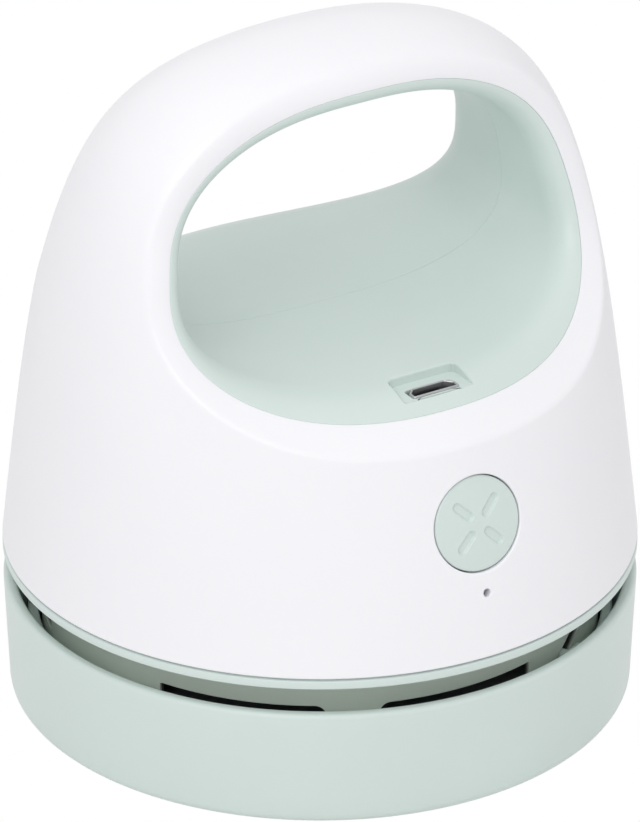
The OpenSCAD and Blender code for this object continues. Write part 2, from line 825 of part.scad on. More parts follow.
module filter_frame() {
    color(grey) {
        translate([0, 0, filter_low_z]) difference() {
            cylinder(r = filter_r, h = filter_h);
            translate([0, 0, -1]) cylinder(r = filter_r - filter_rim, h = filter_h + 2);
            translate([0, 0, 0.8]) cylinder(r = filter_r - filter_rim + 1, h = filter_h);
        }
        for (a = [0 : 60 : 300]) rotate(a) translate([0, -0.8, filter_low_z]) cube([filter_r - 1, 1.6, 0.8]);
        for (a = key_angles) intersection() {
            rotate(a) translate([filter_r - filter_rim, -key_w / 2, key_low_z])
                cube([filter_rim + 2, key_w, filter_low_z - key_low_z + eps]);
            translate([0, 0, key_low_z - 1]) cylinder(r = key_r, h = filter_low_z);
        }
    }
}

module filter_mesh() {
    color("ivory") translate([0, 0, filter_low_z + 0.8]) cylinder(r = filter_r - filter_rim + 0.9, h = 1.2);
}

// ---- dust cup ----
socket_ring_in = vent_r + 0.5;
socket_ring_t = 1.5;
socket_ring_top = peg_z - 1.6;
seal_in_r = vent_r - 1.1;
rim_round = cup_wall / 2;
foot_ring_in = cup_foot_r - 6.8;
nozzle_w = 52;
nozzle_d = 30;
nozzle_round = 5;
peg_reach = 1.7;
tab_angle = 8;

module cup_profile() {
    rim_z = cup_h - rim_round;
    ring_out = socket_ring_in + socket_ring_t;
    polygon([[foot_ring_in, 0], [cup_foot_r - foot_round, 0], [cup_foot_r - foot_round, foot_round],
        [cup_foot_r, foot_round], [cup_rim_r, rim_z], [cup_rim_r - cup_wall, rim_z],
        [cup_foot_r - cup_wall, cup_floor_z], [ring_out, cup_floor_z], [ring_out, socket_ring_top],
        [socket_ring_in, socket_ring_top], [socket_ring_in, cup_floor_z + ledge_h],
        [ledge_in_r, cup_floor_z + ledge_h], [ledge_in_r, cup_floor_z], [0, cup_floor_z],
        [0, under_h], [foot_ring_in, under_h]]);
    translate([cup_foot_r - foot_round, foot_round]) circle(r = foot_round);
    translate([cup_rim_r - rim_round, rim_z]) circle(r = rim_round);
}

module dust_cup() {
    color(mint) difference() {
        union() {
            rotate_extrude() cup_profile();
            for (p = [0 : pairs - 1]) {
                radial_rod(peg_turn + p * 360 / pairs, peg_z, peg_r, socket_ring_in - peg_reach, socket_ring_in + 0.5);
                rotate(peg_turn + p * 360 / pairs - tab_angle / 2) rotate_extrude(angle = tab_angle)
                    translate([socket_ring_in + loose, socket_ring_top - 1])
                    square([socket_ring_t - 2 * loose, peg_z + peg_r + 0.6 - socket_ring_top + 1]);
            }
        }
        translate([0, 0, under_h - 1]) rounded_plate(nozzle_w + 0.4, nozzle_d + 0.4, floor_t + 2, nozzle_round);
        for (a = key_angles) rotate(a) translate([ledge_in_r - 1, -key_w / 2 - clear, cup_floor_z + key_web])
            cube([key_r - ledge_in_r + 1 + clear, key_w + 2 * clear, ledge_h + 1]);
    }
}

module seal_ring() {
    color(black) translate([0, 0, cup_floor_z + ledge_h]) difference() {
        cylinder(r = socket_ring_in - loose, h = seal_h);
        translate([0, 0, -1]) cylinder(r = seal_in_r, h = seal_h + 2);
    }
}

// ---- suction nozzle with its two brush strips ----
mouth_w = 42;
mouth_d = 8;
chimney_top_z = 5.8;
chimney_wall = 1.2;
brush_y = 9.6;
brush_w = 44;
brush_d = 4;
channel_wall = 1;
brush_top_z = 5.6;
backing_t = 1.2;
tufts = 14;
tip_z = 0.3;

module suction_nozzle() {
    lip = 1.6;
    color(grey) difference() {
        union() {
            translate([0, 0, under_h]) rounded_plate(nozzle_w, nozzle_d, floor_t, nozzle_round);
            translate([0, 0, cup_floor_z]) rounded_plate(nozzle_w + 2 * lip, nozzle_d + 2 * lip, 0.8, nozzle_round);
            translate([0, 0, cup_floor_z]) rounded_plate(mouth_w + 2 * chimney_wall, mouth_d + 2 * chimney_wall,
                chimney_top_z - cup_floor_z, mouth_d / 2);
            for (s = [-1, 1]) translate([0, s * brush_y, cup_floor_z])
                rounded_plate(brush_w + 2 * channel_wall, brush_d + 2 * channel_wall,
                    brush_top_z + channel_wall - cup_floor_z, 1);
        }
        translate([0, 0, under_h - 1]) rounded_plate(mouth_w, mouth_d, chimney_top_z, mouth_d / 2 - eps);
        for (s = [-1, 1]) translate([0, s * brush_y, under_h - 1])
            rounded_plate(brush_w, brush_d, brush_top_z - under_h + 1, 0.6);
    }
}

module brush_strip() {
    color(black) union() {
        translate([0, 0, brush_top_z - backing_t])
            rounded_plate(brush_w - 2 * loose, brush_d - 2 * loose, backing_t, 0.5);
        for (i = [0 : tufts - 1], s = [-1, 1])
            translate([(i - (tufts - 1) / 2) * (brush_w - 3) / (tufts - 1), s * 0.9, tip_z])
                cylinder(r1 = 0.85, r2 = 0.55, h = brush_top_z - backing_t - tip_z + 0.2, $fn = 24);
    }
}

module brush_front() {
    translate([0, -brush_y, 0]) brush_strip();
}

module brush_rear() {
    translate([0, brush_y, 0]) brush_strip();
}

upper_shell();
liner_front();
liner_rear();
power_button();
fan_housing();
inner_frame();
motor_can();
motor_end_cap();
motor_terminals();
motor_screws();
motor_shaft();
impeller();
battery_cell();
battery_tabs();
control_board();
board_screws();
tact_switch();
switch_plunger();
status_led();
charge_socket();
socket_core();
charge_board();
charge_board_screws();
shell_screws();
filter_frame();
filter_mesh();
seal_ring();
dust_cup();
suction_nozzle();
brush_front();
brush_rear();
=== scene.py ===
import bpy
import bmesh
import json
import math
import random
import numpy as np
from mathutils import Matrix, Vector


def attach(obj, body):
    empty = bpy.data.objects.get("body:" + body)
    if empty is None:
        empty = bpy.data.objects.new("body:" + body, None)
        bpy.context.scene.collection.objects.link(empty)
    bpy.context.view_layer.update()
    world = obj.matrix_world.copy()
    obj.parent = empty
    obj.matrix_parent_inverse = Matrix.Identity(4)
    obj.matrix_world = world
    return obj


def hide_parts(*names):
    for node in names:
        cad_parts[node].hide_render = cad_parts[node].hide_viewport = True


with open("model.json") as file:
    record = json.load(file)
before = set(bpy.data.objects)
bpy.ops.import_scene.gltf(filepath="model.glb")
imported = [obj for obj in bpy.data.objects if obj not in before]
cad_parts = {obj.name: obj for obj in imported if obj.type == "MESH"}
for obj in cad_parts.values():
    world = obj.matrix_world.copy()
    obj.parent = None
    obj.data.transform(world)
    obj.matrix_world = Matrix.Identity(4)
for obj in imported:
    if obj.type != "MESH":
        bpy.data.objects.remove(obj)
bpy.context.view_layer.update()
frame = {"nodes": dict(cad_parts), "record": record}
nodes = frame["nodes"]
scene = bpy.context.scene
print("stage 0: frame loaded")

mm = 0.001
tau = 2 * math.pi


def newGroup(name, inputs, outputs):
    group = bpy.data.node_groups.new(name, "ShaderNodeTree")
    for label, kind, value in inputs:
        socket = group.interface.new_socket(label, in_out="INPUT", socket_type=kind)
        if value is not None:
            socket.default_value = value
    for label, kind in outputs:
        group.interface.new_socket(label, in_out="OUTPUT", socket_type=kind)
    return group, group.nodes.new("NodeGroupInput"), group.nodes.new("NodeGroupOutput")


def addNode(tree, kind, settings=None, values=None):
    node = tree.nodes.new(kind)
    for key, value in (settings or {}).items():
        setattr(node, key, value)
    for key, value in (values or {}).items():
        node.inputs[key].default_value = value
    return node


def mapRange(tree, low, high, newLow=0.0, newHigh=1.0):
    return addNode(tree, "ShaderNodeMapRange", None,
                   {"From Min": low, "From Max": high, "To Min": newLow, "To Max": newHigh})


def mixColour(tree, blend, factor, a, b):
    node = addNode(tree, "ShaderNodeMix", {"data_type": "RGBA", "blend_type": blend})
    for index, value in ((0, factor), (6, a), (7, b)):
        if hasattr(value, "is_output"):
            tree.links.new(value, node.inputs[index])
        else:
            node.inputs[index].default_value = value
    return node.outputs[2]


def moulding():
    # fine spark texture, slow tone drift and a faint handling haze of moulded plastic
    group, start, end = newGroup("mouldedPlastic", [
        ("Colour", "NodeSocketColor", (0.8, 0.8, 0.8, 1)), ("Drift", "NodeSocketFloat", 0.02),
        ("Roughness", "NodeSocketFloat", 0.4), ("Rough Drift", "NodeSocketFloat", 0.05),
        ("Grain Size", "NodeSocketFloat", 3000.0)],
        [("Colour", "NodeSocketColor"), ("Roughness", "NodeSocketFloat"), ("Height", "NodeSocketFloat")])
    link = group.links.new
    place = addNode(group, "ShaderNodeTexCoord")
    slow = addNode(group, "ShaderNodeTexNoise", None, {"Scale": 38.0, "Detail": 3.0, "Roughness": 0.55})
    haze = addNode(group, "ShaderNodeTexNoise", None, {"Scale": 160.0, "Detail": 4.0, "Roughness": 0.6})
    grain = addNode(group, "ShaderNodeTexNoise", None, {"Detail": 2.0, "Roughness": 0.5})
    for tex in (slow, haze, grain):
        link(place.outputs["Object"], tex.inputs["Vector"])
    link(start.outputs["Grain Size"], grain.inputs["Scale"])
    drift = mapRange(group, 0.3, 0.7, -1.0, 1.0)
    link(slow.outputs["Fac"], drift.inputs["Value"])
    shift = addNode(group, "ShaderNodeMath", {"operation": "MULTIPLY_ADD"})
    shift.inputs[2].default_value = 1.0
    link(drift.outputs[0], shift.inputs[0])
    link(start.outputs["Drift"], shift.inputs[1])
    toned = addNode(group, "ShaderNodeVectorMath", {"operation": "SCALE"})
    link(start.outputs["Colour"], toned.inputs[0])
    link(shift.outputs[0], toned.inputs["Scale"])
    link(toned.outputs[0], end.inputs["Colour"])
    hazed = mapRange(group, 0.35, 0.75, -1.0, 1.0)
    link(haze.outputs["Fac"], hazed.inputs["Value"])
    rough = addNode(group, "ShaderNodeMath", {"operation": "MULTIPLY_ADD"})
    link(hazed.outputs[0], rough.inputs[0])
    link(start.outputs["Rough Drift"], rough.inputs[1])
    link(start.outputs["Roughness"], rough.inputs[2])
    link(rough.outputs[0], end.inputs["Roughness"])
    link(grain.outputs["Fac"], end.inputs["Height"])
    return group


def spinning():
    # turned and plated metal: rings about the piece's own height plus cloudy plating
    group, start, end = newGroup("platedMetal", [
        ("Colour", "NodeSocketColor", (0.6, 0.6, 0.6, 1)), ("Roughness", "NodeSocketFloat", 0.3),
        ("Streaks", "NodeSocketFloat", 0.12), ("Stretch", "NodeSocketVector", (400.0, 400.0, 9000.0))],
        [("Colour", "NodeSocketColor"), ("Roughness", "NodeSocketFloat"), ("Height", "NodeSocketFloat")])
    link = group.links.new
    place = addNode(group, "ShaderNodeTexCoord")
    stretch = addNode(group, "ShaderNodeVectorMath", {"operation": "MULTIPLY"})
    link(place.outputs["Object"], stretch.inputs[0])
    link(start.outputs["Stretch"], stretch.inputs[1])
    streak = addNode(group, "ShaderNodeTexNoise", None, {"Scale": 1.0, "Detail": 2.0})
    link(stretch.outputs[0], streak.inputs["Vector"])
    cloud = addNode(group, "ShaderNodeTexNoise", None, {"Scale": 220.0, "Detail": 4.0})
    link(place.outputs["Object"], cloud.inputs["Vector"])
    tone = mapRange(group, 0.3, 0.7, 0.86, 1.08)
    link(cloud.outputs["Fac"], tone.inputs["Value"])
    tinted = addNode(group, "ShaderNodeVectorMath", {"operation": "SCALE"})
    link(start.outputs["Colour"], tinted.inputs[0])
    link(tone.outputs[0], tinted.inputs["Scale"])
    link(tinted.outputs[0], end.inputs["Colour"])
    rough = addNode(group, "ShaderNodeMath", {"operation": "MULTIPLY_ADD"})
    link(streak.outputs["Fac"], rough.inputs[0])
    link(start.outputs["Streaks"], rough.inputs[1])
    link(start.outputs["Roughness"], rough.inputs[2])
    link(rough.outputs[0], end.inputs["Roughness"])
    link(streak.outputs["Fac"], end.inputs["Height"])
    return group


mouldedGroup = moulding()
platedGroup = spinning()


def startMaterial(name):
    material = bpy.data.materials.new(name)
    material.use_nodes = True
    tree = material.node_tree
    return material, tree, tree.nodes["Principled BSDF"]


def plastic(name, colour, roughness, drift=0.02, roughDrift=0.04, grainSize=3000.0, bump=0.05,
            coat=0.0, subsurface=0.0, specular=0.5):
    material, tree, shader = startMaterial(name)
    made = addNode(tree, "ShaderNodeGroup", {"node_tree": mouldedGroup})
    made.inputs["Colour"].default_value = (*colour, 1)
    made.inputs["Drift"].default_value = drift
    made.inputs["Roughness"].default_value = roughness
    made.inputs["Rough Drift"].default_value = roughDrift
    made.inputs["Grain Size"].default_value = grainSize
    bumped = addNode(tree, "ShaderNodeBump", None, {"Strength": bump, "Distance": 0.0001})
    link = tree.links.new
    link(made.outputs["Colour"], shader.inputs["Base Color"])
    link(made.outputs["Roughness"], shader.inputs["Roughness"])
    link(made.outputs["Height"], bumped.inputs["Height"])
    link(bumped.outputs[0], shader.inputs["Normal"])
    shader.inputs["Coat Weight"].default_value = coat
    shader.inputs["Coat Roughness"].default_value = 0.15
    shader.inputs["Specular IOR Level"].default_value = specular
    shader.inputs["Subsurface Weight"].default_value = subsurface
    shader.inputs["Subsurface Radius"].default_value = (1.0, 1.0, 0.9)
    shader.inputs["Subsurface Scale"].default_value = 0.001
    return material


def metal(name, colour, roughness, streaks=0.12, stretch=(400.0, 400.0, 9000.0), bump=0.08):
    material, tree, shader = startMaterial(name)
    made = addNode(tree, "ShaderNodeGroup", {"node_tree": platedGroup})
    made.inputs["Colour"].default_value = (*colour, 1)
    made.inputs["Roughness"].default_value = roughness
    made.inputs["Streaks"].default_value = streaks
    made.inputs["Stretch"].default_value = stretch
    bumped = addNode(tree, "ShaderNodeBump", None, {"Strength": bump, "Distance": 0.00005})
    link = tree.links.new
    link(made.outputs["Colour"], shader.inputs["Base Color"])
    link(made.outputs["Roughness"], shader.inputs["Roughness"])
    link(made.outputs["Height"], bumped.inputs["Height"])
    link(bumped.outputs[0], shader.inputs["Normal"])
    shader.inputs["Metallic"].default_value = 1.0
    return material


finishes = {
    "shell_white": plastic("whiteShell", (0.895, 0.892, 0.925), 0.42, 0.006, 0.03, 3200.0, 0.05,
                           subsurface=0.08),
    "mint": plastic("mintPlastic", (0.645, 0.735, 0.705), 0.40, 0.012, 0.03, 3000.0, 0.05),
    "grey_plastic": plastic("greyPlastic", (0.10, 0.11, 0.115), 0.50, 0.06, 0.06, 2600.0, 0.1),
    "black_plastic": plastic("blackPlastic", (0.012, 0.012, 0.014), 0.42, 0.1, 0.06, 2600.0, 0.08),
    "ivory_plastic": plastic("ivoryPlastic", (0.70, 0.65, 0.52), 0.4, 0.03),
    "cell_wrap": plastic("cellSleeve", (0.02, 0.13, 0.30), 0.28, 0.05, 0.06, 900.0, 0.04, coat=0.5),
    "board_green": plastic("solderMask", (0.012, 0.10, 0.045), 0.3, 0.12, 0.08, 1400.0, 0.05, coat=0.4),
    "led_lens": plastic("milkyLens", (0.82, 0.85, 0.84), 0.22, 0.02, coat=0.4, subsurface=0.4),
    "seal_rubber": plastic("sealRubber", (0.018, 0.018, 0.018), 0.66, 0.1, 0.06, 2200.0, 0.15, specular=0.3),
    "bristle_nylon": plastic("bristleNylon", (0.022, 0.022, 0.024), 0.36, 0.15, 0.05, 1500.0, 0.05),
    "steel": metal("platedSteel", (0.60, 0.60, 0.615), 0.24),
    "brass": metal("tinnedBrass", (0.74, 0.58, 0.30), 0.30),
}


def felt():
    material, tree, shader = startMaterial("filterFelt")
    place = addNode(tree, "ShaderNodeTexCoord")
    fibre = addNode(tree, "ShaderNodeTexNoise", None,
                    {"Scale": 2600.0, "Detail": 5.0, "Roughness": 0.7, "Distortion": 1.6})
    mat = addNode(tree, "ShaderNodeTexNoise", None, {"Scale": 300.0, "Detail": 3.0})
    link = tree.links.new
    for tex in (fibre, mat):
        link(place.outputs["Object"], tex.inputs["Vector"])
    tone = mapRange(tree, 0.3, 0.75)
    link(fibre.outputs["Fac"], tone.inputs["Value"])
    colour = mixColour(tree, "MIX", tone.outputs[0], (0.50, 0.48, 0.42, 1), (0.82, 0.81, 0.76, 1))
    link(colour, shader.inputs["Base Color"])
    bumped = addNode(tree, "ShaderNodeBump", None, {"Strength": 0.6, "Distance": 0.0003})
    link(fibre.outputs["Fac"], bumped.inputs["Height"])
    link(bumped.outputs[0], shader.inputs["Normal"])
    shader.inputs["Roughness"].default_value = 0.95
    shader.inputs["Sheen Weight"].default_value = 0.3
    return material


finishes["filter_felt"] = felt()
slotOf = {s["node"]: s["material_slot"] for s in frame["record"]["subparts"]}
for name, node in nodes.items():
    node.data.materials.clear()
    node.data.materials.append(finishes[slotOf[name]])
print("stage 1: materials")


def finishPiece(bm, name, body, slotName, replaced=(), normals=None, sharp=32, material=None):
    # the bmesh is in millimetres; normals gives each vertex its normal where a formula gives one
    bm.verts.index_update()
    bm.normal_update()
    ready = np.zeros((len(bm.verts), 3))
    if normals:
        for vert, value in normals.items():
            if vert.is_valid:
                ready[vert.index] = value
        turned = [f for f in bm.faces if np.dot(f.normal, ready[[v.index for v in f.verts]].sum(0)) < 0]
        bmesh.ops.reverse_faces(bm, faces=turned)
    bmesh.ops.scale(bm, vec=Vector((mm, mm, mm)), verts=bm.verts)
    mesh = bpy.data.meshes.new(name)
    bm.to_mesh(mesh)
    bm.free()
    mesh.polygons.foreach_set("use_smooth", [True] * len(mesh.polygons))
    if normals:
        mesh.normals_split_custom_set_from_vertices([tuple(n) for n in ready])
    elif sharp:
        mesh.set_sharp_from_angle(angle=math.radians(sharp))
    piece = bpy.data.objects.new(name, mesh)
    scene.collection.objects.link(piece)
    mesh.materials.append(material or finishes[slotName])
    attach(piece, body)
    if replaced:
        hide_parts(*replaced)
    return piece


def signedPower(value, power):
    return np.sign(value) * np.abs(value) ** power


shell = {
    "lowRadius": 46.0, "lowZ": 23.7, "topZ": 102.0, "frontLean": 5.4, "frontReach": 61.0, "crownWide": 42.7,
    "sideLean": 11.0, "sideReach": 77.0, "crownDeep": 11.5, "crownPower": 2.1, "wall": 2.0,
    "columns": 360, "rowStep": 0.85, "fineStep": 0.45, "fineFrom": 28.5, "fineTo": 51.5, "lowSoft": 0.3,
}
grip = {
    "z": 77.3, "halfWide": 30.1, "up": 17.1, "down": 17.4, "upPower": 2.46, "downPower": 2.9,
    "taper": 0.0063, "lipRadius": 11.2, "lipAngle": math.radians(40.5), "creaseSoft": 0.55, "lipSoft": 0.16,
}


def profileCurve(lean, reach, crown):
    t = np.linspace(0, 1, 8001)
    lean = math.radians(lean)
    points = [(shell["lowRadius"], shell["lowZ"]),
              (shell["lowRadius"] - reach * math.sin(lean), shell["lowZ"] + reach * math.cos(lean)),
              (crown, shell["topZ"]), (0.0, shell["topZ"])]
    weights = [(1 - t) ** 3, 3 * (1 - t) ** 2 * t, 3 * (1 - t) * t * t, t ** 3]
    return [sum(w * p[axis] for w, p in zip(weights, points)) for axis in (0, 1)]


frontX, frontZ = profileCurve(shell["frontLean"], shell["frontReach"], shell["crownWide"])
sideY, sideZ = profileCurve(shell["sideLean"], shell["sideReach"], shell["crownDeep"])


def halfWide(z):
    return np.interp(z, frontZ, frontX)


def halfDeep(z):
    return np.interp(z, sideZ, sideY)


def sectionPower(z):
    span = shell["topZ"] - shell["lowZ"]
    return 2 + (shell["crownPower"] - 2) * np.clip((z - shell["lowZ"]) / span, 0, 1)


def skinDepth(x, z):
    n = sectionPower(z)
    q = 1 - (np.abs(x) / np.maximum(halfWide(z), 1e-6)) ** n
    return halfDeep(z) * np.clip(q, 0, None) ** (1 / n)


def skinNormal(p):
    # gradient of the level-section equation
    def value(x, y, z):
        n = sectionPower(z)
        return (np.abs(x) / halfWide(z)) ** n + (np.abs(y) / halfDeep(z)) ** n
    x, y, z = p[:, 0], p[:, 1], np.clip(p[:, 2], shell["lowZ"] + 0.01, shell["topZ"] - 0.03)
    h = 0.01
    g = np.stack([(value(x + h, y, z) - value(x - h, y, z)), (value(x, y + h, z) - value(x, y - h, z)),
                  (value(x, y, z + h) - value(x, y, z - h))], 1)
    g[p[:, 2] > shell["topZ"] - 0.02] = (0, 0, 1)
    return g / np.maximum(np.linalg.norm(g, axis=1), 1e-9)[:, None]


def gripTable():
    # the neck's outline at even steps, with its outward normals
    t = np.linspace(0, tau, 40001)
    up = np.sin(t) > 0
    power = np.where(up, grip["upPower"], grip["downPower"])
    rise = np.where(up, grip["up"], grip["down"]) * signedPower(np.sin(t), 2 / power)
    x = grip["halfWide"] * signedPower(np.cos(t), 2 / power) * (1 - grip["taper"] * rise)
    z = grip["z"] + rise
    run = np.concatenate([[0], np.cumsum(np.hypot(np.diff(x), np.diff(z)))])
    even = np.linspace(0, run[-1], 2881)
    x, z = np.interp(even, run, x)[:-1], np.interp(even, run, z)[:-1]
    dx, dz = np.roll(x, -6) - np.roll(x, 6), np.roll(z, -6) - np.roll(z, 6)
    length = np.hypot(dx, dz)
    return x, z, dz / length, -dx / length


gripX, gripZ, gripNx, gripNz = gripTable()
gripSteps = len(gripX)
gripU = np.arange(gripSteps + 1) / gripSteps


def around(values, u):
    return np.interp(np.mod(u, 1.0), gripU, np.append(values, values[0]))


def mouthPoint(u, out, deep, side):
    # a point of the flared mouth: out from the neck's outline, deep under the skin along Y
    x = around(gripX, u) + around(gripNx, u) * out
    z = around(gripZ, u) + around(gripNz, u) * out
    return np.stack([x, side * np.maximum(skinDepth(x, z) - deep, 0.4), z], 1)


def mouthNormal(u, out, deep, dOut, dDeep, side):
    h = 0.02
    along = mouthPoint(u + 0.002, out, deep, side) - mouthPoint(u - 0.002, out, deep, side)
    ahead = mouthPoint(u, out + h * dOut, deep + h * dDeep, side)
    behind = mouthPoint(u, out - h * dOut, deep - h * dDeep, side)
    n = -side * np.cross(along, ahead - behind)
    return n / np.maximum(np.linalg.norm(n, axis=1), 1e-9)[:, None]


lipR, lipA = grip["lipRadius"], grip["lipAngle"]
lipOut, lipDeep = lipR * (1 - math.cos(lipA)), lipR * (1 - math.sin(lipA))
rimOut = lipOut + lipDeep * math.tan(lipA)
inward = np.array([-math.sin(lipA), math.cos(lipA)])        # down the white slope, as (out, deep)
intoWall = np.array([math.cos(lipA), math.sin(lipA)])


def bezierRows(a, b, c, count):
    # rows of a soft corner with their tangents, from just after a up to c
    rows = []
    for k in range(1, count + 1):
        t = k / count
        p = (1 - t) ** 2 * a + 2 * t * (1 - t) * b + t * t * c
        d = 2 * (1 - t) * (b - a) + 2 * t * (c - b)
        rows.append((*p, *(d / np.linalg.norm(d))))
    return rows


def cutAway(bm, level):
    # removes what lies where level is below zero, with a clean edge along level zero
    snap = 0.22        # a corner nearer to the line than this share of its edge moves onto it
    verts = list(bm.verts)
    value = dict(zip(verts, level(np.array([v.co[:] for v in verts]))))

    def crossings():
        edges = [e for e in bm.edges if value[e.verts[0]] * value[e.verts[1]] < 0]
        if not edges:
            return edges, []
        a = np.array([e.verts[0].co[:] for e in edges])
        b = np.array([e.verts[1].co[:] for e in edges])
        side = np.array([value[e.verts[0]] > 0 for e in edges])
        low, high = np.zeros(len(edges)), np.ones(len(edges))
        for _ in range(20):
            mid = (low + high) / 2
            same = (level(a + (b - a) * mid[:, None]) > 0) == side
            low, high = np.where(same, mid, low), np.where(same, high, mid)
        return edges, (low + high) / 2

    edges, shares = crossings()
    for edge, t in zip(edges, shares):
        a, b = edge.verts
        if value[a] * value[b] < 0 and (t < snap or t > 1 - snap):
            near = a if t < 0.5 else b
            near.co = a.co.lerp(b.co, t)
            value[near] = 0.0
    edges, shares = crossings()
    for edge, t in zip(edges, shares):
        fresh = bmesh.utils.edge_split(edge, edge.verts[0], float(t))[1]
        value[fresh] = 0.0
    onLine = [v for v in bm.verts if value[v] == 0.0]
    bmesh.ops.connect_verts(bm, verts=onLine)
    onLine = set(onLine)
    faces = list(bm.faces)
    centres = level(np.array([f.calc_center_median()[:] for f in faces]))
    gone = []
    for face, centre in zip(faces, centres):
        signs = [value[v] for v in face.verts]
        if min(signs) < 0 or (max(signs) == 0.0 and centre < 0):
            gone.append(face)
    bmesh.ops.delete(bm, geom=gone, context="FACES")
    return [e for e in bm.edges if len(e.link_faces) == 1 and all(v in onLine for v in e.verts)]


def growEdge(bm, edges, keys, place):
    # one new band along open edges; place gives the new spots from the verts' keys
    grown = bmesh.ops.extrude_edge_only(bm, edges=edges)["geom"]
    fresh = [g for g in grown if isinstance(g, bmesh.types.BMVert)]
    isFresh = set(fresh)
    for vert in fresh:
        for edge in vert.link_edges:
            old = edge.other_vert(vert)
            if old in keys and old not in isFresh:
                keys[vert] = keys[old]
                break
    for vert, spot in zip(fresh, place(np.array([keys[v] for v in fresh]))):
        vert.co = spot
    return list({e for v in fresh for e in v.link_edges if e.other_vert(v) in isFresh}), fresh


def openEdges(bm):
    return [e for e in bm.edges if len(e.link_faces) == 1]


def lathe(profile, steps, angle=tau, turn=0.0, closed=True):
    # spins a line of (radius, height) points about the Z axis
    bm = bmesh.new()
    verts = [bm.verts.new((r * math.cos(turn), r * math.sin(turn), z)) for r, z in profile]
    edges = [bm.edges.new(pair) for pair in zip(verts, verts[1:])]
    if closed:
        edges.append(bm.edges.new((verts[-1], verts[0])))
    whole = angle >= tau
    bmesh.ops.spin(bm, geom=verts + edges, cent=(0, 0, 0), axis=(0, 0, 1), angle=angle, steps=steps,
                   use_merge=whole)
    bmesh.ops.remove_doubles(bm, verts=bm.verts, dist=0.0004)
    if not whole:
        bmesh.ops.holes_fill(bm, edges=openEdges(bm), sides=0)
    bmesh.ops.recalc_face_normals(bm, faces=bm.faces)
    return bm


def softLine(points, segments=4, closed=True):
    # a line of (x, y, rounding) points with its corners turned into arcs
    out = []
    count = len(points)
    for i, (x, y, r) in enumerate(points):
        if r <= 0 or (not closed and i in (0, count - 1)):
            out.append((x, y))
            continue
        here = Vector((x, y))
        back = (Vector(points[i - 1][:2]) - here).normalized()
        ahead = (Vector(points[(i + 1) % count][:2]) - here).normalized()
        half = back.angle(ahead) / 2
        middle = here + (back + ahead).normalized() * r / math.sin(half)
        start, end = here + back * r / math.tan(half) - middle, here + ahead * r / math.tan(half) - middle
        turn = math.atan2(start.x * end.y - start.y * end.x, start.dot(end))
        for k in range(segments + 1):
            t = turn * k / segments
            out.append((middle.x + start.x * math.cos(t) - start.y * math.sin(t),
                        middle.y + start.x * math.sin(t) + start.y * math.cos(t)))
    return out


def stack(bm, rings, capFirst=False, capLast=False, joined=False):
    # rings of equal counts, each grown from the one before
    ring = bmesh.ops.create_circle(bm, segments=len(rings[0]), radius=1)["verts"]
    first = list({e for v in ring for e in v.link_edges})
    keys = {v: i for i, v in enumerate(ring)}
    for vert, spot in zip(ring, rings[0]):
        vert.co = spot
    edges = first
    for row in rings[1:]:
        edges, _ = growEdge(bm, edges, keys, lambda k: np.asarray(row)[k])
    if capFirst:
        bmesh.ops.contextual_create(bm, geom=first)
    if capLast:
        bmesh.ops.contextual_create(bm, geom=edges)
    if joined:
        bmesh.ops.bridge_loops(bm, edges=first + edges)


def join(bm, other):
    mesh = bpy.data.meshes.new("part")
    other.to_mesh(mesh)
    other.free()
    bm.from_mesh(mesh)
    bpy.data.meshes.remove(mesh)
    return bm


def bevelledBar(size, edge, place, segments=2):
    block = bmesh.new()
    bmesh.ops.create_cube(block, size=1)
    bmesh.ops.scale(block, vec=size, verts=block.verts)
    bmesh.ops.bevel(block, geom=block.edges[:], offset=edge, offset_type="OFFSET", affect="EDGES",
                    segments=segments, profile=0.5, material=-1)
    bmesh.ops.translate(block, vec=place, verts=block.verts)
    return block


def roundBox(x, y, halfX, halfY, radius):
    # distance to a rounded rectangle, below zero inside
    qx, qy = np.abs(x) - halfX + radius, np.abs(y) - halfY + radius
    return np.hypot(np.maximum(qx, 0), np.maximum(qy, 0)) + np.minimum(np.maximum(qx, qy), 0) - radius


def boxReach(angle, halfX, halfY, radius):
    # distance from the middle to the rounded rectangle's edge
    low, high = np.zeros(len(angle)), np.full(len(angle), 2.0 * (halfX + halfY))
    for _ in range(36):
        mid = (low + high) / 2
        inside = roundBox(mid * np.cos(angle), mid * np.sin(angle), halfX, halfY, radius) < 0
        low, high = np.where(inside, mid, low), np.where(inside, high, mid)
    return low


def boxRing(count, halfX, halfY, radius, z, y=0.0):
    angle = np.arange(count) / count * tau
    reach = boxReach(angle, halfX, halfY, radius)
    return np.stack([reach * np.cos(angle), y + reach * np.sin(angle), np.full(count, z)], 1)


# the button's own frame, which the shell's hole and the light's pinhole share
button = {"z": 42.7, "radius": 6.86, "hole": 7.04, "edge": 0.28,
          "ledDrop": 10.1, "ledRadius": 0.6, "ledEdge": 0.2}
buttonDepth = float(skinDepth(np.array([0.0]), np.array([button["z"]]))[0])
above, below = (float(skinDepth(np.array([0.0]), np.array([button["z"] + d]))[0]) for d in (0.5, -0.5))
buttonTilt = math.atan(below - above)
buttonOrigin = np.array([0.0, -buttonDepth, button["z"]])
buttonRight = np.array([1.0, 0.0, 0.0])
buttonUp = np.array([0.0, math.sin(buttonTilt), math.cos(buttonTilt)])
buttonOut = np.array([0.0, -math.cos(buttonTilt), math.sin(buttonTilt)])


def onButton(p):
    d = p - buttonOrigin
    return d @ buttonRight, d @ buttonUp, d @ buttonOut


def fromButton(a, b, c):
    a, b, c = np.broadcast_arrays(np.asarray(a, float), np.asarray(b, float), np.asarray(c, float))
    return buttonOrigin + a[..., None] * buttonRight + b[..., None] * buttonUp + c[..., None] * buttonOut


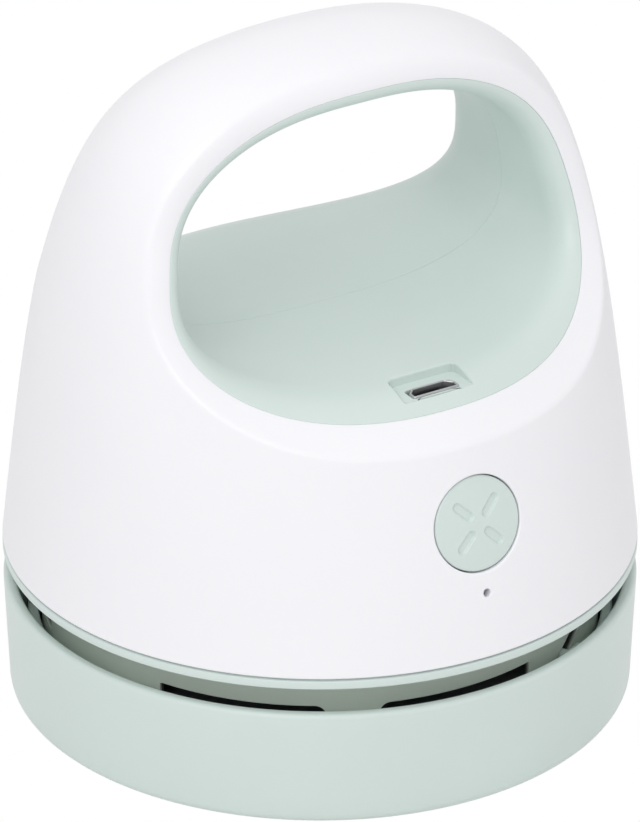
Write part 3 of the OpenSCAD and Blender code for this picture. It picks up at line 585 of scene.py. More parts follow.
def skinUnder(a, b):
    # height of the skin over the button's plane, found along the button's axis
    low, high = np.full(np.shape(a), -6.0), np.full(np.shape(a), 2.0)
    for _ in range(30):
        mid = (low + high) / 2
        p = fromButton(a, b, mid)
        inside = -p[..., 1] < skinDepth(p[..., 0], p[..., 2])
        low, high = np.where(inside, mid, low), np.where(inside, high, mid)
    return (low + high) / 2


def shellLevels():
    run = np.concatenate([[0], np.cumsum(np.hypot(np.diff(frontX), np.diff(frontZ)))])
    spots, here = [0.0], 0.0
    while here < run[-1] - 1.2:
        z = float(np.interp(here, run, frontZ))
        here += shell["fineStep"] if shell["fineFrom"] < z < shell["fineTo"] else shell["rowStep"]
        spots.append(here)
    return [float(np.interp(s, run, frontZ)) for s in spots]


def frontWarp(angles):
    # more columns where the button and its light are
    grid = np.linspace(0, tau, 3601)
    off = np.angle(np.exp(1j * (grid + math.pi / 2)))
    density = 1 + 1.3 * np.exp(-(off / 0.22) ** 2)
    total = np.concatenate([[0], np.cumsum((density[1:] + density[:-1]) / 2)])
    total *= tau / total[-1]
    return np.interp(np.mod(angles, tau), total, grid)


def makeShell():
    bm = bmesh.new()
    levels = shellLevels()
    verts = [bm.verts.new((10, 0, z)) for z in levels] + [bm.verts.new((0, 0, shell["topZ"]))]
    edges = [bm.edges.new(pair) for pair in zip(verts, verts[1:])]
    bmesh.ops.spin(bm, geom=verts + edges, cent=(0, 0, 0), axis=(0, 0, 1), angle=tau,
                   steps=shell["columns"], use_merge=True)
    bmesh.ops.remove_doubles(bm, verts=bm.verts, dist=0.0004)
    bmesh.ops.recalc_face_normals(bm, faces=bm.faces)
    everyVert = list(bm.verts)
    co = np.array([v.co[:] for v in everyVert])
    angle = frontWarp(np.arctan2(co[:, 1], co[:, 0]))
    power = 2 / sectionPower(co[:, 2])
    off = np.hypot(co[:, 0], co[:, 1]) > 1
    x = np.where(off, halfWide(co[:, 2]) * signedPower(np.cos(angle), power), 0)
    y = np.where(off, halfDeep(co[:, 2]) * signedPower(np.sin(angle), power), 0)
    for vert, a, b in zip(everyVert, x, y):
        vert.co.x, vert.co.y = a, b

    edgeOut = rimOut + grip["creaseSoft"]
    curveX, curveZ = gripX + gripNx * edgeOut, gripZ + gripNz * edgeOut - grip["z"]
    polar = np.mod(np.arctan2(curveZ, curveX), tau)
    order = np.argsort(polar)
    polar, reach = polar[order], np.hypot(curveX, curveZ)[order]
    share = (np.arange(gripSteps) / gripSteps)[order]
    drift = share - polar / tau
    share = np.where(drift > 0.5, share - 1, np.where(drift < -0.5, share + 1, share))
    polar = np.concatenate([polar - tau, polar, polar + tau])
    reach = np.concatenate([reach, reach, reach])
    share = np.concatenate([share - 1, share, share + 1])

    def mouthLevel(p):
        a = np.arctan2(p[:, 2] - grip["z"], p[:, 0])
        return np.hypot(p[:, 0], p[:, 2] - grip["z"]) - np.interp(a, polar, reach)

    def circleLevel(drop, radius):
        def level(p):
            a, b, c = onButton(p)
            return np.where(c < -12, 50.0, np.hypot(a, b + drop) - radius)
        return level

    mouthEdges = cutAway(bm, mouthLevel)
    holeEdges = cutAway(bm, circleLevel(0, button["hole"] + button["edge"]))
    pinEdges = cutAway(bm, circleLevel(button["ledDrop"], button["ledRadius"] + button["ledEdge"]))
    skin = list(bm.verts)
    normals = dict(zip(skin, skinNormal(np.array([v.co[:] for v in skin]))))

    # the rim of the handle opening: soft crease, white slope, small lip beside the liner
    a = np.array([edgeOut, 0.0])
    b = np.array([rimOut, 0.0])
    c = b + inward * grip["creaseSoft"] * 1.4
    lip = np.array([lipOut, lipDeep])
    last = lip - grip["lipSoft"] * inward
    rows = bezierRows(a, b, c, 6)
    rows += [(*(c + (last - c) * k / 6), *inward) for k in range(1, 7)]
    rows += bezierRows(last, lip, lip + grip["lipSoft"] * intoWall, 3)
    rows += [(*(lip + far * intoWall), *intoWall) for far in (0.5, 1.6)]
    for side in (-1, 1):
        edges = [e for e in mouthEdges if side * e.verts[0].co.y > 0]
        keys = {v: float(np.interp(math.atan2(v.co.z - grip["z"], v.co.x), polar, share))
                for e in edges for v in e.verts}
        for out, deep, dOut, dDeep in rows:
            edges, fresh = growEdge(bm, edges, keys, lambda u: mouthPoint(u, out, deep, side))
            u = np.array([keys[v] for v in fresh])
            normals.update(zip(fresh, mouthNormal(u, out, deep, dOut, dDeep, side)))

    # rounded edges of the button's hole and of the light's pinhole, then their walls
    for edges, drop, radius, soft in ((holeEdges, 0.0, button["hole"], button["edge"]),
                                      (pinEdges, button["ledDrop"], button["ledRadius"], button["ledEdge"])):
        keys = {}
        for v in {v for e in edges for v in e.verts}:
            x, y, _ = onButton(np.array(v.co[:]))
            keys[v] = math.atan2(float(y) + drop, float(x))
        for k in range(1, 8):
            lean = min(k, 5) / 5 * math.pi / 2
            reachNow = radius + soft * (1 - math.sin(lean))
            down = soft * (1 - math.cos(lean)) + max(0, k - 5) * 0.9

            def holeSpot(t):
                x, y = reachNow * np.cos(t), reachNow * np.sin(t) - drop
                return fromButton(x, y, skinUnder(x, y) - down)
            edges, fresh = growEdge(bm, edges, keys, holeSpot)
            t = np.array([keys[v] for v in fresh])
            axis = -np.cos(t)[:, None] * buttonRight - np.sin(t)[:, None] * buttonUp
            base = skinNormal(np.array([v.co[:] for v in fresh]))
            normals.update(zip(fresh, base * math.cos(lean) + axis * math.sin(lean)))

    # lower edge: small round, then the flat that sits on the flange
    low = [e for e in openEdges(bm) if all(abs(v.co.z - shell["lowZ"]) < 1e-4 for v in e.verts)]
    keys = {v: math.atan2(v.co.y, v.co.x) for e in low for v in e.verts}
    soft = shell["lowSoft"]
    baseZ = shell["lowZ"] + soft
    wide, deep = float(halfWide(baseZ)), float(halfDeep(baseZ))
    for v, t in keys.items():
        v.co = (wide * math.cos(t), deep * math.sin(t), baseZ)
    rows = [(soft * (1 - math.cos(a)), soft * (1 - math.sin(a)), math.cos(a), -math.sin(a))
            for a in (0.45, 0.95, math.pi / 2)]
    rows += [(shell["wall"], 0.0, 0.0, -1.0), (shell["wall"] + 0.6, 2.5, -1.0, 0.0)]
    for pull, up, level, fall in rows:
        low, fresh = growEdge(bm, low, keys, lambda t: np.stack(
            [(wide - pull) * np.cos(t), (deep - pull) * np.sin(t), shell["lowZ"] + up + 0 * t], 1))
        for vert in fresh:
            normals[vert] = np.array([level * math.cos(keys[vert]), level * math.sin(keys[vert]), fall])
    for vert in bm.verts:
        vert.co.z = min(vert.co.z, shell["topZ"] - 0.05)
    return finishPiece(bm, "shellSkin", "housing", "shell_white", ("upper_shell",), normals)


makeShell()
print("stage 2: shell")


liner = {"columns": 440, "tuck": 1.3, "edge": 0.14, "flareRows": 30,
         "seam": ((0.3, 0, 0, 0), (0.65, 0, 0, 0), (1, 0.09, 0, 0), (1, 0.05, 0.02, 0.7),
                  (1, 0.03, 0.06, 1.3), (1, 0.02, 1.4, 1.5))}        # share, gap, out, lean
recess = {"y": -29.5, "middle": -29.8, "z": 58.5, "wide": 11.2, "deep": 7.2, "round": 1.2, "edge": 0.3,
          "holeWide": 7.9, "holeDeep": 2.9, "holeRound": 0.5}


def makeLiner(side, name, node):
    bm = bmesh.new()
    columns, flareRows = liner["columns"], liner["flareRows"]
    ring = bmesh.ops.create_circle(bm, segments=columns, radius=10)["verts"]
    keys = {v: k / columns for k, v in enumerate(ring)}
    lip = np.array([lipOut, lipDeep])
    edgeIn = lip + liner["edge"] * intoWall
    rows = [(*(lip + far * intoWall), *(-intoWall)) for far in (liner["tuck"], 0.4, liner["edge"])]
    rows += bezierRows(edgeIn, lip, lip + grip["lipSoft"] * inward, 4)
    for k in range(1, flareRows + 1):
        phi = lipA * 0.98 * (1 - k / flareRows)
        rows.append((lipR * (1 - math.cos(phi)), lipR * (1 - math.sin(phi)), -math.sin(phi), math.cos(phi)))
    normals = {}
    fresh, edges = ring, list(bm.edges)
    for index, (out, deep, dOut, dDeep) in enumerate(rows):
        if index:
            edges, fresh = growEdge(bm, edges, keys, lambda u: mouthPoint(u, out, deep, side))
        else:
            for vert, spot in zip(ring, mouthPoint(np.array([keys[v] for v in ring]), out, deep, side)):
                vert.co = spot
        u = np.array([keys[v] for v in fresh])
        normals.update(zip(fresh, mouthNormal(u, out, deep, dOut, dDeep, side)))
    # straight neck up to the joint line in the middle, whose edge is slightly rounded
    for share, gap, out, lean in liner["seam"]:
        def neckSpot(u):
            p = mouthPoint(u, out, lipR, side)
            start = mouthPoint(u, 0.0, lipR, side)[:, 1]
            p[:, 1] = start + (side * gap - start) * share
            return p
        edges, fresh = growEdge(bm, edges, keys, neckSpot)
        u = np.array([keys[v] for v in fresh])
        facing = np.stack([-around(gripNx, u), 0 * u, -around(gripNz, u)], 1)
        normals.update(zip(fresh, facing * math.cos(lean) + np.array([0, -side * math.sin(lean), 0])))
    if side < 0:
        cutRecess(bm, normals)
    return finishPiece(bm, name, "housing", "mint", (node,), normals)


def cutRecess(bm, normals):
    # the shallow pocket round the charging socket: rounded edge, wall, flat floor and the socket's hole
    soft = recess["edge"]
    grown = (recess["wide"] / 2 + soft, recess["deep"] / 2 + soft, recess["round"] + soft)

    def level(p):
        away = np.maximum(roundBox(p[:, 0], p[:, 1] - recess["middle"], *grown), recess["z"] - p[:, 2])
        return np.where(p[:, 2] > 70, 50.0, away)
    rim = cutAway(bm, level)
    for vert in bm.verts:
        if vert not in normals:
            near = [normals[e.other_vert(vert)] for e in vert.link_edges if e.other_vert(vert) in normals]
            if near:
                normals[vert] = sum(near) / np.linalg.norm(sum(near))
    keys = {v: v.co[:] for e in rim for v in e.verts}
    below = recess["z"]
    rows = [(soft * math.sin(a), soft * (1 - math.cos(a)), a) for a in (0.35, 0.8, 1.2, math.pi / 2)]
    rows += [(soft, 40, math.pi / 2), (soft + 0.05, 50, 0.0)]
    for pull, drop, lean in rows:
        def wallSpot(p):
            x, y, h = p[:, 0], p[:, 1] - recess["middle"], 0.01
            gx = roundBox(x + h, y, *grown) - roundBox(x - h, y, *grown)
            gy = roundBox(x, y + h, *grown) - roundBox(x, y - h, *grown)
            g = np.stack([gx, gy], 1) / np.maximum(np.hypot(gx, gy), 1e-9)[:, None]
            z = np.maximum(p[:, 2] - drop, below + (0.05 if drop == 40 else 0.0))
            z = np.minimum(z, p[:, 2])
            return np.column_stack([x - g[:, 0] * pull, y - g[:, 1] * pull + recess["middle"], z])
        rim, fresh = growEdge(bm, rim, keys, wallSpot)
        for vert in fresh:
            x, y, _ = keys[vert]
            flat = Vector((-x / 3, -(y - recess["middle"]), 0))
            if abs(x) > abs(y - recess["middle"]) + 2.2:
                flat = Vector((-x, 0, 0))
            elif abs(y - recess["middle"]) > 2:
                flat = Vector((0, -(y - recess["middle"]), 0))
            normals[vert] = np.array(flat.normalized()) * math.sin(lean) + np.array([0, 0, math.cos(lean)])
    for shrink, z, lean in ((0.0, below, 0.0), (-0.08, below - 0.1, 0.9), (-0.1, below - 1.5, math.pi / 2)):
        def holeSpot(p):
            t = np.arctan2(p[:, 1] - recess["y"], p[:, 0])
            halfX, halfY = recess["holeWide"] / 2 + shrink, recess["holeDeep"] / 2 + shrink
            r = boxReach(t, halfX, halfY, recess["holeRound"])
            return np.column_stack([r * np.cos(t), r * np.sin(t) + recess["y"], 0 * t + z])
        rim, fresh = growEdge(bm, rim, keys, holeSpot)
        for vert in fresh:
            t = math.atan2(vert.co.y - recess["y"], vert.co.x)
            normals[vert] = np.array([-math.cos(t) * math.sin(lean), -math.sin(t) * math.sin(lean),
                                      math.cos(lean)])


makeLiner(-1, "linerFront", "liner_front")
makeLiner(1, "linerRear", "liner_rear")
print("stage 3: liner")


pad = {"crown": 43.0, "edge": 0.3, "skirt": -1.6, "flange": 8.6, "flangeLow": -4.3, "flangeTop": -3.3,
       "stem": 2.0, "stemLow": -4.6, "rings": 68, "markTurn": 45.0, "markRing": 3.13, "markLong": 3.75,
       "markWide": 1.42, "markDeep": 0.42, "markSoft": 0.34}


def makeButton():
    edge = pad["edge"]

    def crown(r):
        return math.sqrt(pad["crown"] ** 2 - r * r) - pad["crown"]
    inner = button["radius"] - edge
    line = [(inner * k / pad["rings"], crown(inner * k / pad["rings"])) for k in range(pad["rings"] + 1)]
    for k in range(1, 6):
        a = k / 5 * math.pi / 2
        line.append((inner + edge * math.sin(a), crown(inner) - edge * (1 - math.cos(a))))
    line += [(button["radius"], pad["skirt"]), (button["radius"], pad["flangeTop"]),
             (pad["flange"] - 0.1, pad["flangeTop"]), (pad["flange"], pad["flangeTop"] - 0.1),
             (pad["flange"], pad["flangeLow"]), (pad["stem"], pad["flangeLow"]),
             (pad["stem"], pad["stemLow"]), (0, pad["stemLow"])]
    bm = lathe(line, 300, closed=False)
    for vert in bm.verts:
        x, y = vert.co.x, vert.co.y
        if vert.co.z < -1.2 or math.hypot(x, y) > inner:
            continue
        for quarter in range(4):
            a = math.radians(pad["markTurn"] + 90 * quarter)
            along = x * math.cos(a) + y * math.sin(a) - pad["markRing"]
            across = y * math.cos(a) - x * math.sin(a)
            past = max(abs(along) - (pad["markLong"] - pad["markWide"]) / 2, 0)
            away = math.hypot(past, across) - pad["markWide"] / 2
            t = min(max((0.08 - away) / pad["markSoft"], 0), 1)
            vert.co.z -= pad["markDeep"] * t * t * (3 - 2 * t)
    turned = Matrix(((1, 0, 0, 0), (0, buttonUp[1], buttonOut[1], buttonOrigin[1]),
                     (0, buttonUp[2], buttonOut[2], buttonOrigin[2]), (0, 0, 0, 1)))
    bmesh.ops.transform(bm, matrix=turned, verts=bm.verts)
    return finishPiece(bm, "buttonPad", "button", "mint", ("power_button",), sharp=62)


makeButton()
print("stage 4: button")


vent = {"radius": 40.5, "wall": 0.8, "lowZ": 8.0, "rows": 44, "columns": 640, "windowTurn": -115.4,
        "windowApart": 22.9, "windowHalf": 17.6, "windowZ": 14.8, "windowTall": 3.4,
        "slotTurns": (-50.0, 130.0), "slotTop": 20.0, "slotLow": 5.0, "slotHalf": 1.2, "lead": 27.0}
flange = {"low": 22.1, "top": 23.7, "radius": 45.98, "fanHole": 31.5, "grooveTall": 0.3, "grooveDeep": 0.7,
          "collar": [(41.9, 23.65), (43.4, 23.65), (43.4, 25.5), (43.2, 25.7), (42.1, 25.7), (41.9, 25.5)]}
fanFloor = {"z": 11.0, "thick": 1.4, "radius": 39.05, "eye": 14.0, "eyeLip": 1.2, "eyeRise": 0.8, "hub": 3.0,
            "spoke": 1.6, "spokes": 6, "bead": [(38.3, 8.0), (39.05, 8.0), (39.05, 8.3), (38.3, 8.3)]}


def ventLevel(p):
    # below zero in the paired windows, which are round towards each other, and in the slanted twist slots
    turn = np.degrees(np.arctan2(p[:, 1], p[:, 0]))
    z = p[:, 2]
    best = np.full(len(p), 50.0)
    half, tall = math.radians(vent["windowHalf"]) * vent["radius"], vent["windowTall"] / 2
    for third in range(3):
        for side in (-1, 1):
            away = turn - vent["windowTurn"] - 120 * third - side * vent["windowApart"]
            away = np.mod(away + 180, 360) - 180
            run = np.radians(away) * vent["radius"] * side
            best = np.minimum(best, roundBox(run, z - vent["windowZ"], half, tall, 1.65))
            best = np.minimum(best, roundBox(run - half / 2, z - vent["windowZ"], half / 2, tall, 0.3))
    slope = vent["radius"] / vent["lead"]
    climb = math.hypot(1, slope)
    for slotTurn in vent["slotTurns"]:
        away = np.mod(turn - slotTurn + 180, 360) - 180
        run, drop = np.radians(away) * vent["radius"], vent["slotTop"] - z
        t = np.clip((drop - run * slope) / climb, 0, (vent["slotTop"] - vent["slotLow"]) * climb)
        best = np.minimum(best, np.hypot(run + t * slope / climb, drop - t / climb) - vent["slotHalf"])
    return best


def ventPaintedShade():
    # mint tinted warmer as painted shade of the recess, with painted shade darkening the side that faces the
    # fan
    # a warmer, darker copy of the mint: painted shade and bounced light of the recess
    material = plastic("ventMintPaintedShade", (0.65, 0.72, 0.645), 0.42, 0.012, 0.03)
    tree = material.node_tree
    link = tree.links.new
    made, shader = tree.nodes["Group"], tree.nodes["Principled BSDF"]
    place = addNode(tree, "ShaderNodeTexCoord")
    level = addNode(tree, "ShaderNodeVectorMath", {"operation": "MULTIPLY"})
    level.inputs[1].default_value = (1, 1, 0)
    reach = addNode(tree, "ShaderNodeVectorMath", {"operation": "LENGTH"})
    # painted shade: under 40 mm radius the colour drops to a tenth
    tone = mapRange(tree, 0.0399, 0.0404, 0.1, 1.0)
    toned = addNode(tree, "ShaderNodeVectorMath", {"operation": "SCALE"})
    link(place.outputs["Object"], level.inputs[0])
    link(level.outputs[0], reach.inputs[0])
    link(reach.outputs["Value"], tone.inputs["Value"])
    link(made.outputs["Colour"], toned.inputs[0])
    link(tone.outputs[0], toned.inputs["Scale"])
    link(toned.outputs[0], shader.inputs["Base Color"])
    return material


def makeVentWall():
    rows = vent["rows"]
    tall = flange["low"] + 0.05 - vent["lowZ"]
    bm = lathe([(vent["radius"], vent["lowZ"] + tall * k / rows) for k in range(rows + 1)], vent["columns"],
               closed=False)
    bm.faces.ensure_lookup_table()
    probe = bm.faces[0]
    if probe.normal.dot(Vector((*probe.calc_center_median().xy, 0))) < 0:
        bmesh.ops.reverse_faces(bm, faces=bm.faces)
    cutAway(bm, ventLevel)
    bmesh.ops.solidify(bm, geom=bm.faces[:], thickness=vent["wall"])
    finishPiece(bm, "ventWall", "housing", "mint", (), sharp=40, material=ventPaintedShade())


def makeFlange():
    # a flat ring with a groove under the white shell, and a collar that centres the shell on it
    low, top, outer = flange["low"], flange["top"], flange["radius"]
    groove, inset = top - flange["grooveTall"], outer - flange["grooveDeep"]
    ring = softLine([(flange["fanHole"], low, 0.25), (outer, low, 0.28), (outer, groove, 0.22),
                     (inset, groove, 0.05), (inset, top, 0), (flange["fanHole"], top, 0.25)])
    bm = lathe(ring, 360)
    join(bm, lathe(flange["collar"], 180))
    finishPiece(bm, "flangeRing", "housing", "mint", ("fan_housing",), sharp=50)


def makeFanFloor():
    # the floor under the fan wheel, with its inlet eye and spokes, and three beads at the filter's rim; dark
    # grey as painted shade behind the vent windows
    low, top, eye = fanFloor["z"], fanFloor["z"] + fanFloor["thick"], fanFloor["eye"]
    lip, rise, hub = eye + fanFloor["eyeLip"], top + fanFloor["eyeRise"], fanFloor["hub"]
    bm = lathe(softLine([(eye, low, 0.3), (fanFloor["radius"], low, 0), (fanFloor["radius"], top, 0),
                         (lip, top, 0.3), (lip, rise, 0.25), (eye, rise, 0.25)]), 160)
    core = softLine([(0, low, 0), (hub, low, 0.3), (hub, top, 0.3), (0, top, 0)], closed=False)
    join(bm, lathe(core, 48, closed=False))
    for k in range(fanFloor["spokes"]):
        spoke = bevelledBar((fanFloor["spoke"], eye - 2.2, fanFloor["thick"]), 0.25,
                            (0, eye / 2 + 1.2, low + fanFloor["thick"] / 2))
        turn = math.radians(30 + 360 // fanFloor["spokes"] * k)
        bmesh.ops.rotate(spoke, cent=(0, 0, 0), matrix=Matrix.Rotation(turn, 3, "Z"), verts=spoke.verts)
        join(bm, spoke)
    for third in range(3):
        join(bm, lathe(fanFloor["bead"], 8, math.radians(10), math.radians(120 * third)))
    # the dark grey is painted shade seen through the vent windows
    finishPiece(bm, "fanFloor", "housing", "grey_plastic", (), sharp=50)


makeVentWall()
makeFlange()
makeFanFloor()
print("stage 5: vent and flange")


cup = {"steps": 360, "plateHole": (26.2, 15.2, 5.0), "floorLow": 2.0, "floorTop": 3.6, "inner": 33.0,
       # radius, height and rounding, from the foot over the rim to the socket ring inside
       "profile": [(38, 2.0, 0.4), (38, 0.02, 0.4), (45.25, 0.02, 1.7), (45.98, 18, 0.72), (44.2, 18, 0.72),
                   (43.2, 3.6, 0.3), (42.5, 3.6, 0.2), (42.5, 12.2, 0.3), (41, 12.2, 0.3), (41, 3.6, 0)],
       "ledge": [(37, 3.55, 0), (41.05, 3.55, 0), (41.05, 6.9, 0), (37, 6.9, 0.3)],
       "notch": [(37, 3.55), (41.05, 3.55), (41.05, 6.9), (38.95, 6.9), (38.95, 4.0), (37, 4.0)],
       "notches": (70, 190, 310), "notchHalf": 3.6,
       "tab": [(41.1, 11.6, 0), (42.4, 11.6, 0), (42.4, 14.8, 0.3), (41.1, 14.8, 0.3)], "tabTurn": 8,
       "peg": [(0, 39.3, 0), (1.0, 39.3, 0.2), (1.0, 41.4, 0), (0, 41.4, 0)], "pegTurns": (-63.16, 116.84),
       "pegZ": 13.8}


def makeCup():
    line = softLine([(cup["inner"], cup["floorLow"], 0), *cup["profile"], (cup["inner"], cup["floorTop"], 0)],
                    segments=7, closed=False)
    fine = [line[0]]
    for spot in line[1:]:
        gap = math.hypot(spot[0] - fine[-1][0], spot[1] - fine[-1][1])
        pieces = max(1, int(gap / 2.4)) if spot[0] > 44 else 1
        start = fine[-1]
        fine += [(start[0] + (spot[0] - start[0]) * k / pieces, start[1] + (spot[1] - start[1]) * k / pieces)
                 for k in range(1, pieces + 1)]
    bm = lathe(fine, cup["steps"], closed=False)
    rims = []
    for z in (cup["floorLow"], cup["floorTop"]):
        edges = [e for e in openEdges(bm) if all(abs(v.co.z - z) < 0.01 for v in e.verts)]
        keys = {v: math.atan2(v.co.y, v.co.x) for e in edges for v in e.verts}
        for share in (0.5, 1.0):
            def floorSpot(t):
                r = boxReach(t, *cup["plateHole"]) * share + cup["inner"] * (1 - share)
                return np.stack([r * np.cos(t), r * np.sin(t), 0 * t + z], 1)
            edges, fresh = growEdge(bm, edges, keys, floorSpot)
        rims += edges
    bmesh.ops.bridge_loops(bm, edges=rims)
    half = cup["notchHalf"]
    for notch in cup["notches"]:
        join(bm, lathe(softLine(cup["ledge"]), 90, math.radians(120 - 2 * half), math.radians(notch + half)))
        join(bm, lathe(cup["notch"], 8, math.radians(2 * half), math.radians(notch - half)))
    for turn in cup["pegTurns"]:
        join(bm, lathe(softLine(cup["tab"]), 12, math.radians(cup["tabTurn"]),
                       math.radians(turn - cup["tabTurn"] / 2)))
        peg = lathe(softLine(cup["peg"], closed=False), 28, closed=False)
        lay = Matrix.Rotation(math.radians(turn), 4, "Z") @ Matrix.Rotation(math.radians(90), 4, "Y")
        bmesh.ops.transform(peg, matrix=Matrix.Translation((0, 0, cup["pegZ"])) @ lay, verts=peg.verts)
        join(bm, peg)
    bmesh.ops.recalc_face_normals(bm, faces=bm.faces)
    return finishPiece(bm, "cupBody", "cup", "mint", ("dust_cup",), sharp=36)


makeCup()
print("stage 6: cup")


# half length, half width and corner of each outline
nozzle = {"plate": (26.0, 15.0, 5.0), "lip": (27.6, 16.6, 5.0), "mouth": (21.0, 4.0, 3.95),
          "channel": (22.0, 2.0, 0.6), "cover": (23.0, 3.0, 1.0), "coverTop": (22.8, 2.8, 0.9), "coverZ": 6.6,
          "brushY": 9.6, "lowZ": 2.0, "topZ": 3.6, "lipZ": 4.4, "chimneyZ": 5.8, "chimneyWall": 1.2,
          "channelZ": 5.6, "edge": 0.35}


def mouthShape(x, y):
    return roundBox(x, y, *nozzle["mouth"])


def channelShape(x, y):
    return roundBox(x, np.abs(y) - nozzle["brushY"], *nozzle["channel"])


def plateShape(x, y):
    return -roundBox(x, y, *nozzle["plate"])


def growWall(bm, edges, shape, rows):
    # rows of (shift into the hole, height) along a rim that follows shape
    keys = {v: v.co.xy[:] for e in edges for v in e.verts}
    for shift, z in rows:
        def spot(p):
            x, y, h = p[:, 0], p[:, 1], 0.01
            gx, gy = shape(x + h, y) - shape(x - h, y), shape(x, y + h) - shape(x, y - h)
            size = np.maximum(np.hypot(gx, gy), 1e-9)
            return np.column_stack([x - gx / size * shift, y - gy / size * shift, 0 * x + z])
        edges, _ = growEdge(bm, edges, keys, spot)
    return edges


def makeNozzle():
    low, soft = nozzle["lowZ"], nozzle["edge"]
    bm = bmesh.new()
    bmesh.ops.create_grid(bm, x_segments=130, y_segments=76, size=0.5)
    bmesh.ops.scale(bm, vec=(53, 31, 1), verts=bm.verts)
    bmesh.ops.translate(bm, vec=(0, 0, low), verts=bm.verts)
    bmesh.ops.reverse_faces(bm, faces=bm.faces)
    bend = [(soft * math.sin(a), soft * (1 - math.cos(a))) for a in (0.4, 0.8, 1.2, math.pi / 2)]
    for shape, top in ((plateShape, nozzle["topZ"]), (mouthShape, nozzle["chimneyZ"]),
                       (channelShape, nozzle["channelZ"])):
        edges = cutAway(bm, lambda p: shape(p[:, 0], p[:, 1]) - soft)
        edges = growWall(bm, edges, shape, [(shift, low + up) for shift, up in bend] + [(soft, top)])
        if shape is channelShape:
            bmesh.ops.holes_fill(bm, edges=edges, sides=0)
    # the lip that rests on the cup's floor, then the chimney and the two covers over the brushes' channels
    halfX, halfY, radius = nozzle["lip"]
    inner = [boxRing(160, *nozzle["mouth"], z) for z in (nozzle["topZ"], nozzle["lipZ"])]
    outer = boxRing(160, halfX, halfY, radius, nozzle["topZ"])
    edge = boxRing(160, halfX - 0.2, halfY - 0.2, radius, nozzle["lipZ"])
    stack(bm, inner + [edge, outer + [0, 0, 0.2], outer], joined=True)
    grown = [v + nozzle["chimneyWall"] for v in nozzle["mouth"]]
    base, rise = nozzle["lipZ"] - 0.2, nozzle["chimneyZ"]
    stack(bm, [boxRing(96, *nozzle["mouth"], base), boxRing(96, *nozzle["mouth"], rise),
               boxRing(96, *grown, rise), boxRing(96, *grown, base)], joined=True)
    for side in (-1, 1):
        y = side * nozzle["brushY"]
        stack(bm, [boxRing(96, *nozzle["cover"], base, y=y), boxRing(96, *nozzle["cover"], 6.4, y=y),
                   boxRing(96, *nozzle["coverTop"], nozzle["coverZ"], y=y)], capLast=True)
    return finishPiece(bm, "nozzleInsert", "cup", "grey_plastic", ("suction_nozzle",), sharp=40)


brush = {"tufts": 26, "strands": 9, "halfLong": 20.4, "rowY": 0.85, "strayX": 0.26, "strayY": 0.2,
         "leanX": 0.025, "leanY": 0.03, "heights": (4.5, 3.4, 2.2, 1.1, 0.32), "width": 0.1,
         "thinning": 0.012, "bow": 0.11, "tipZ": 0.3, "backing": (21.9, 1.9, 0.5), "backingZ": (4.4, 5.6)}


def makeBrush(side, name, node):
    # three-sided filaments in two rows of tufts, set in a thin backing
    strand = bmesh.new()
    heights = brush["heights"]
    root = heights[0]
    rings = []
    for k, z in enumerate(heights):
        width = brush["width"] - brush["thinning"] * k
        bow = brush["bow"] * (1 - (z - heights[-1]) / (root - heights[-1])) ** 2
        rings.append(np.array([(bow + width * math.cos(t), width * math.sin(t), z)
                               for t in (0, tau / 3, 2 * tau / 3)]))
    stack(strand, rings, capLast=True)
    mesh = bpy.data.meshes.new("strand")
    strand.to_mesh(mesh)
    strand.free()
    chance = random.Random(41 + side)
    bm = bmesh.new()
    count = len(mesh.vertices)
    half, gaps = brush["halfLong"], brush["tufts"] - 1
    for i in range(brush["tufts"]):
        for row in (-1, 1):
            for _ in range(brush["strands"]):
                bm.from_mesh(mesh)
                bm.verts.ensure_lookup_table()
                x = -half + 2 * half * i / gaps + chance.gauss(0, brush["strayX"])
                y = side * nozzle["brushY"] + row * brush["rowY"] + chance.gauss(0, brush["strayY"])
                lean = Matrix.Rotation(chance.gauss(0, brush["leanX"]), 4, "X")
                lean = lean @ Matrix.Rotation(chance.gauss(0, brush["leanY"]), 4, "Y")
                move = Matrix.Translation((x, y, root)) @ lean @ Matrix.Translation((0, 0, -root))
                bmesh.ops.transform(bm, matrix=move @ Matrix.Rotation(chance.random() * tau, 4, "Z"),
                                    verts=bm.verts[-count:])
    bpy.data.meshes.remove(mesh)
    for vert in bm.verts:
        vert.co.z = max(vert.co.z, brush["tipZ"])
    y = side * nozzle["brushY"]
    backing = [boxRing(80, *brush["backing"], z, y=y) for z in brush["backingZ"]]
    stack(bm, backing, capFirst=True, capLast=True)
    return finishPiece(bm, name, "cup", "bristle_nylon", (node,), sharp=70)


makeNozzle()
makeBrush(-1, "brushFront", "brush_front")
makeBrush(1, "brushRear", "brush_rear")
print("stage 7: nozzle and brushes")


inlet = {"outline": [(-3.75, -1.25, 0.35), (3.75, -1.25, 0.35), (3.75, 0.05, 0.4), (2.65, 1.25, 0.35),
                     (-2.65, 1.25, 0.35), (-3.75, 0.05, 0.4)], "lowZ": 53.5, "topZ": 58.7, "wall": 0.3,
         "tongue": (4.4, 0.7, 3.6), "tongueZ": 2.6, "contact": (0.36, 0.12, 2.8), "contactZ": 2.8,
         "contacts": 5, "contactApart": 0.65, "contactY": -0.36}


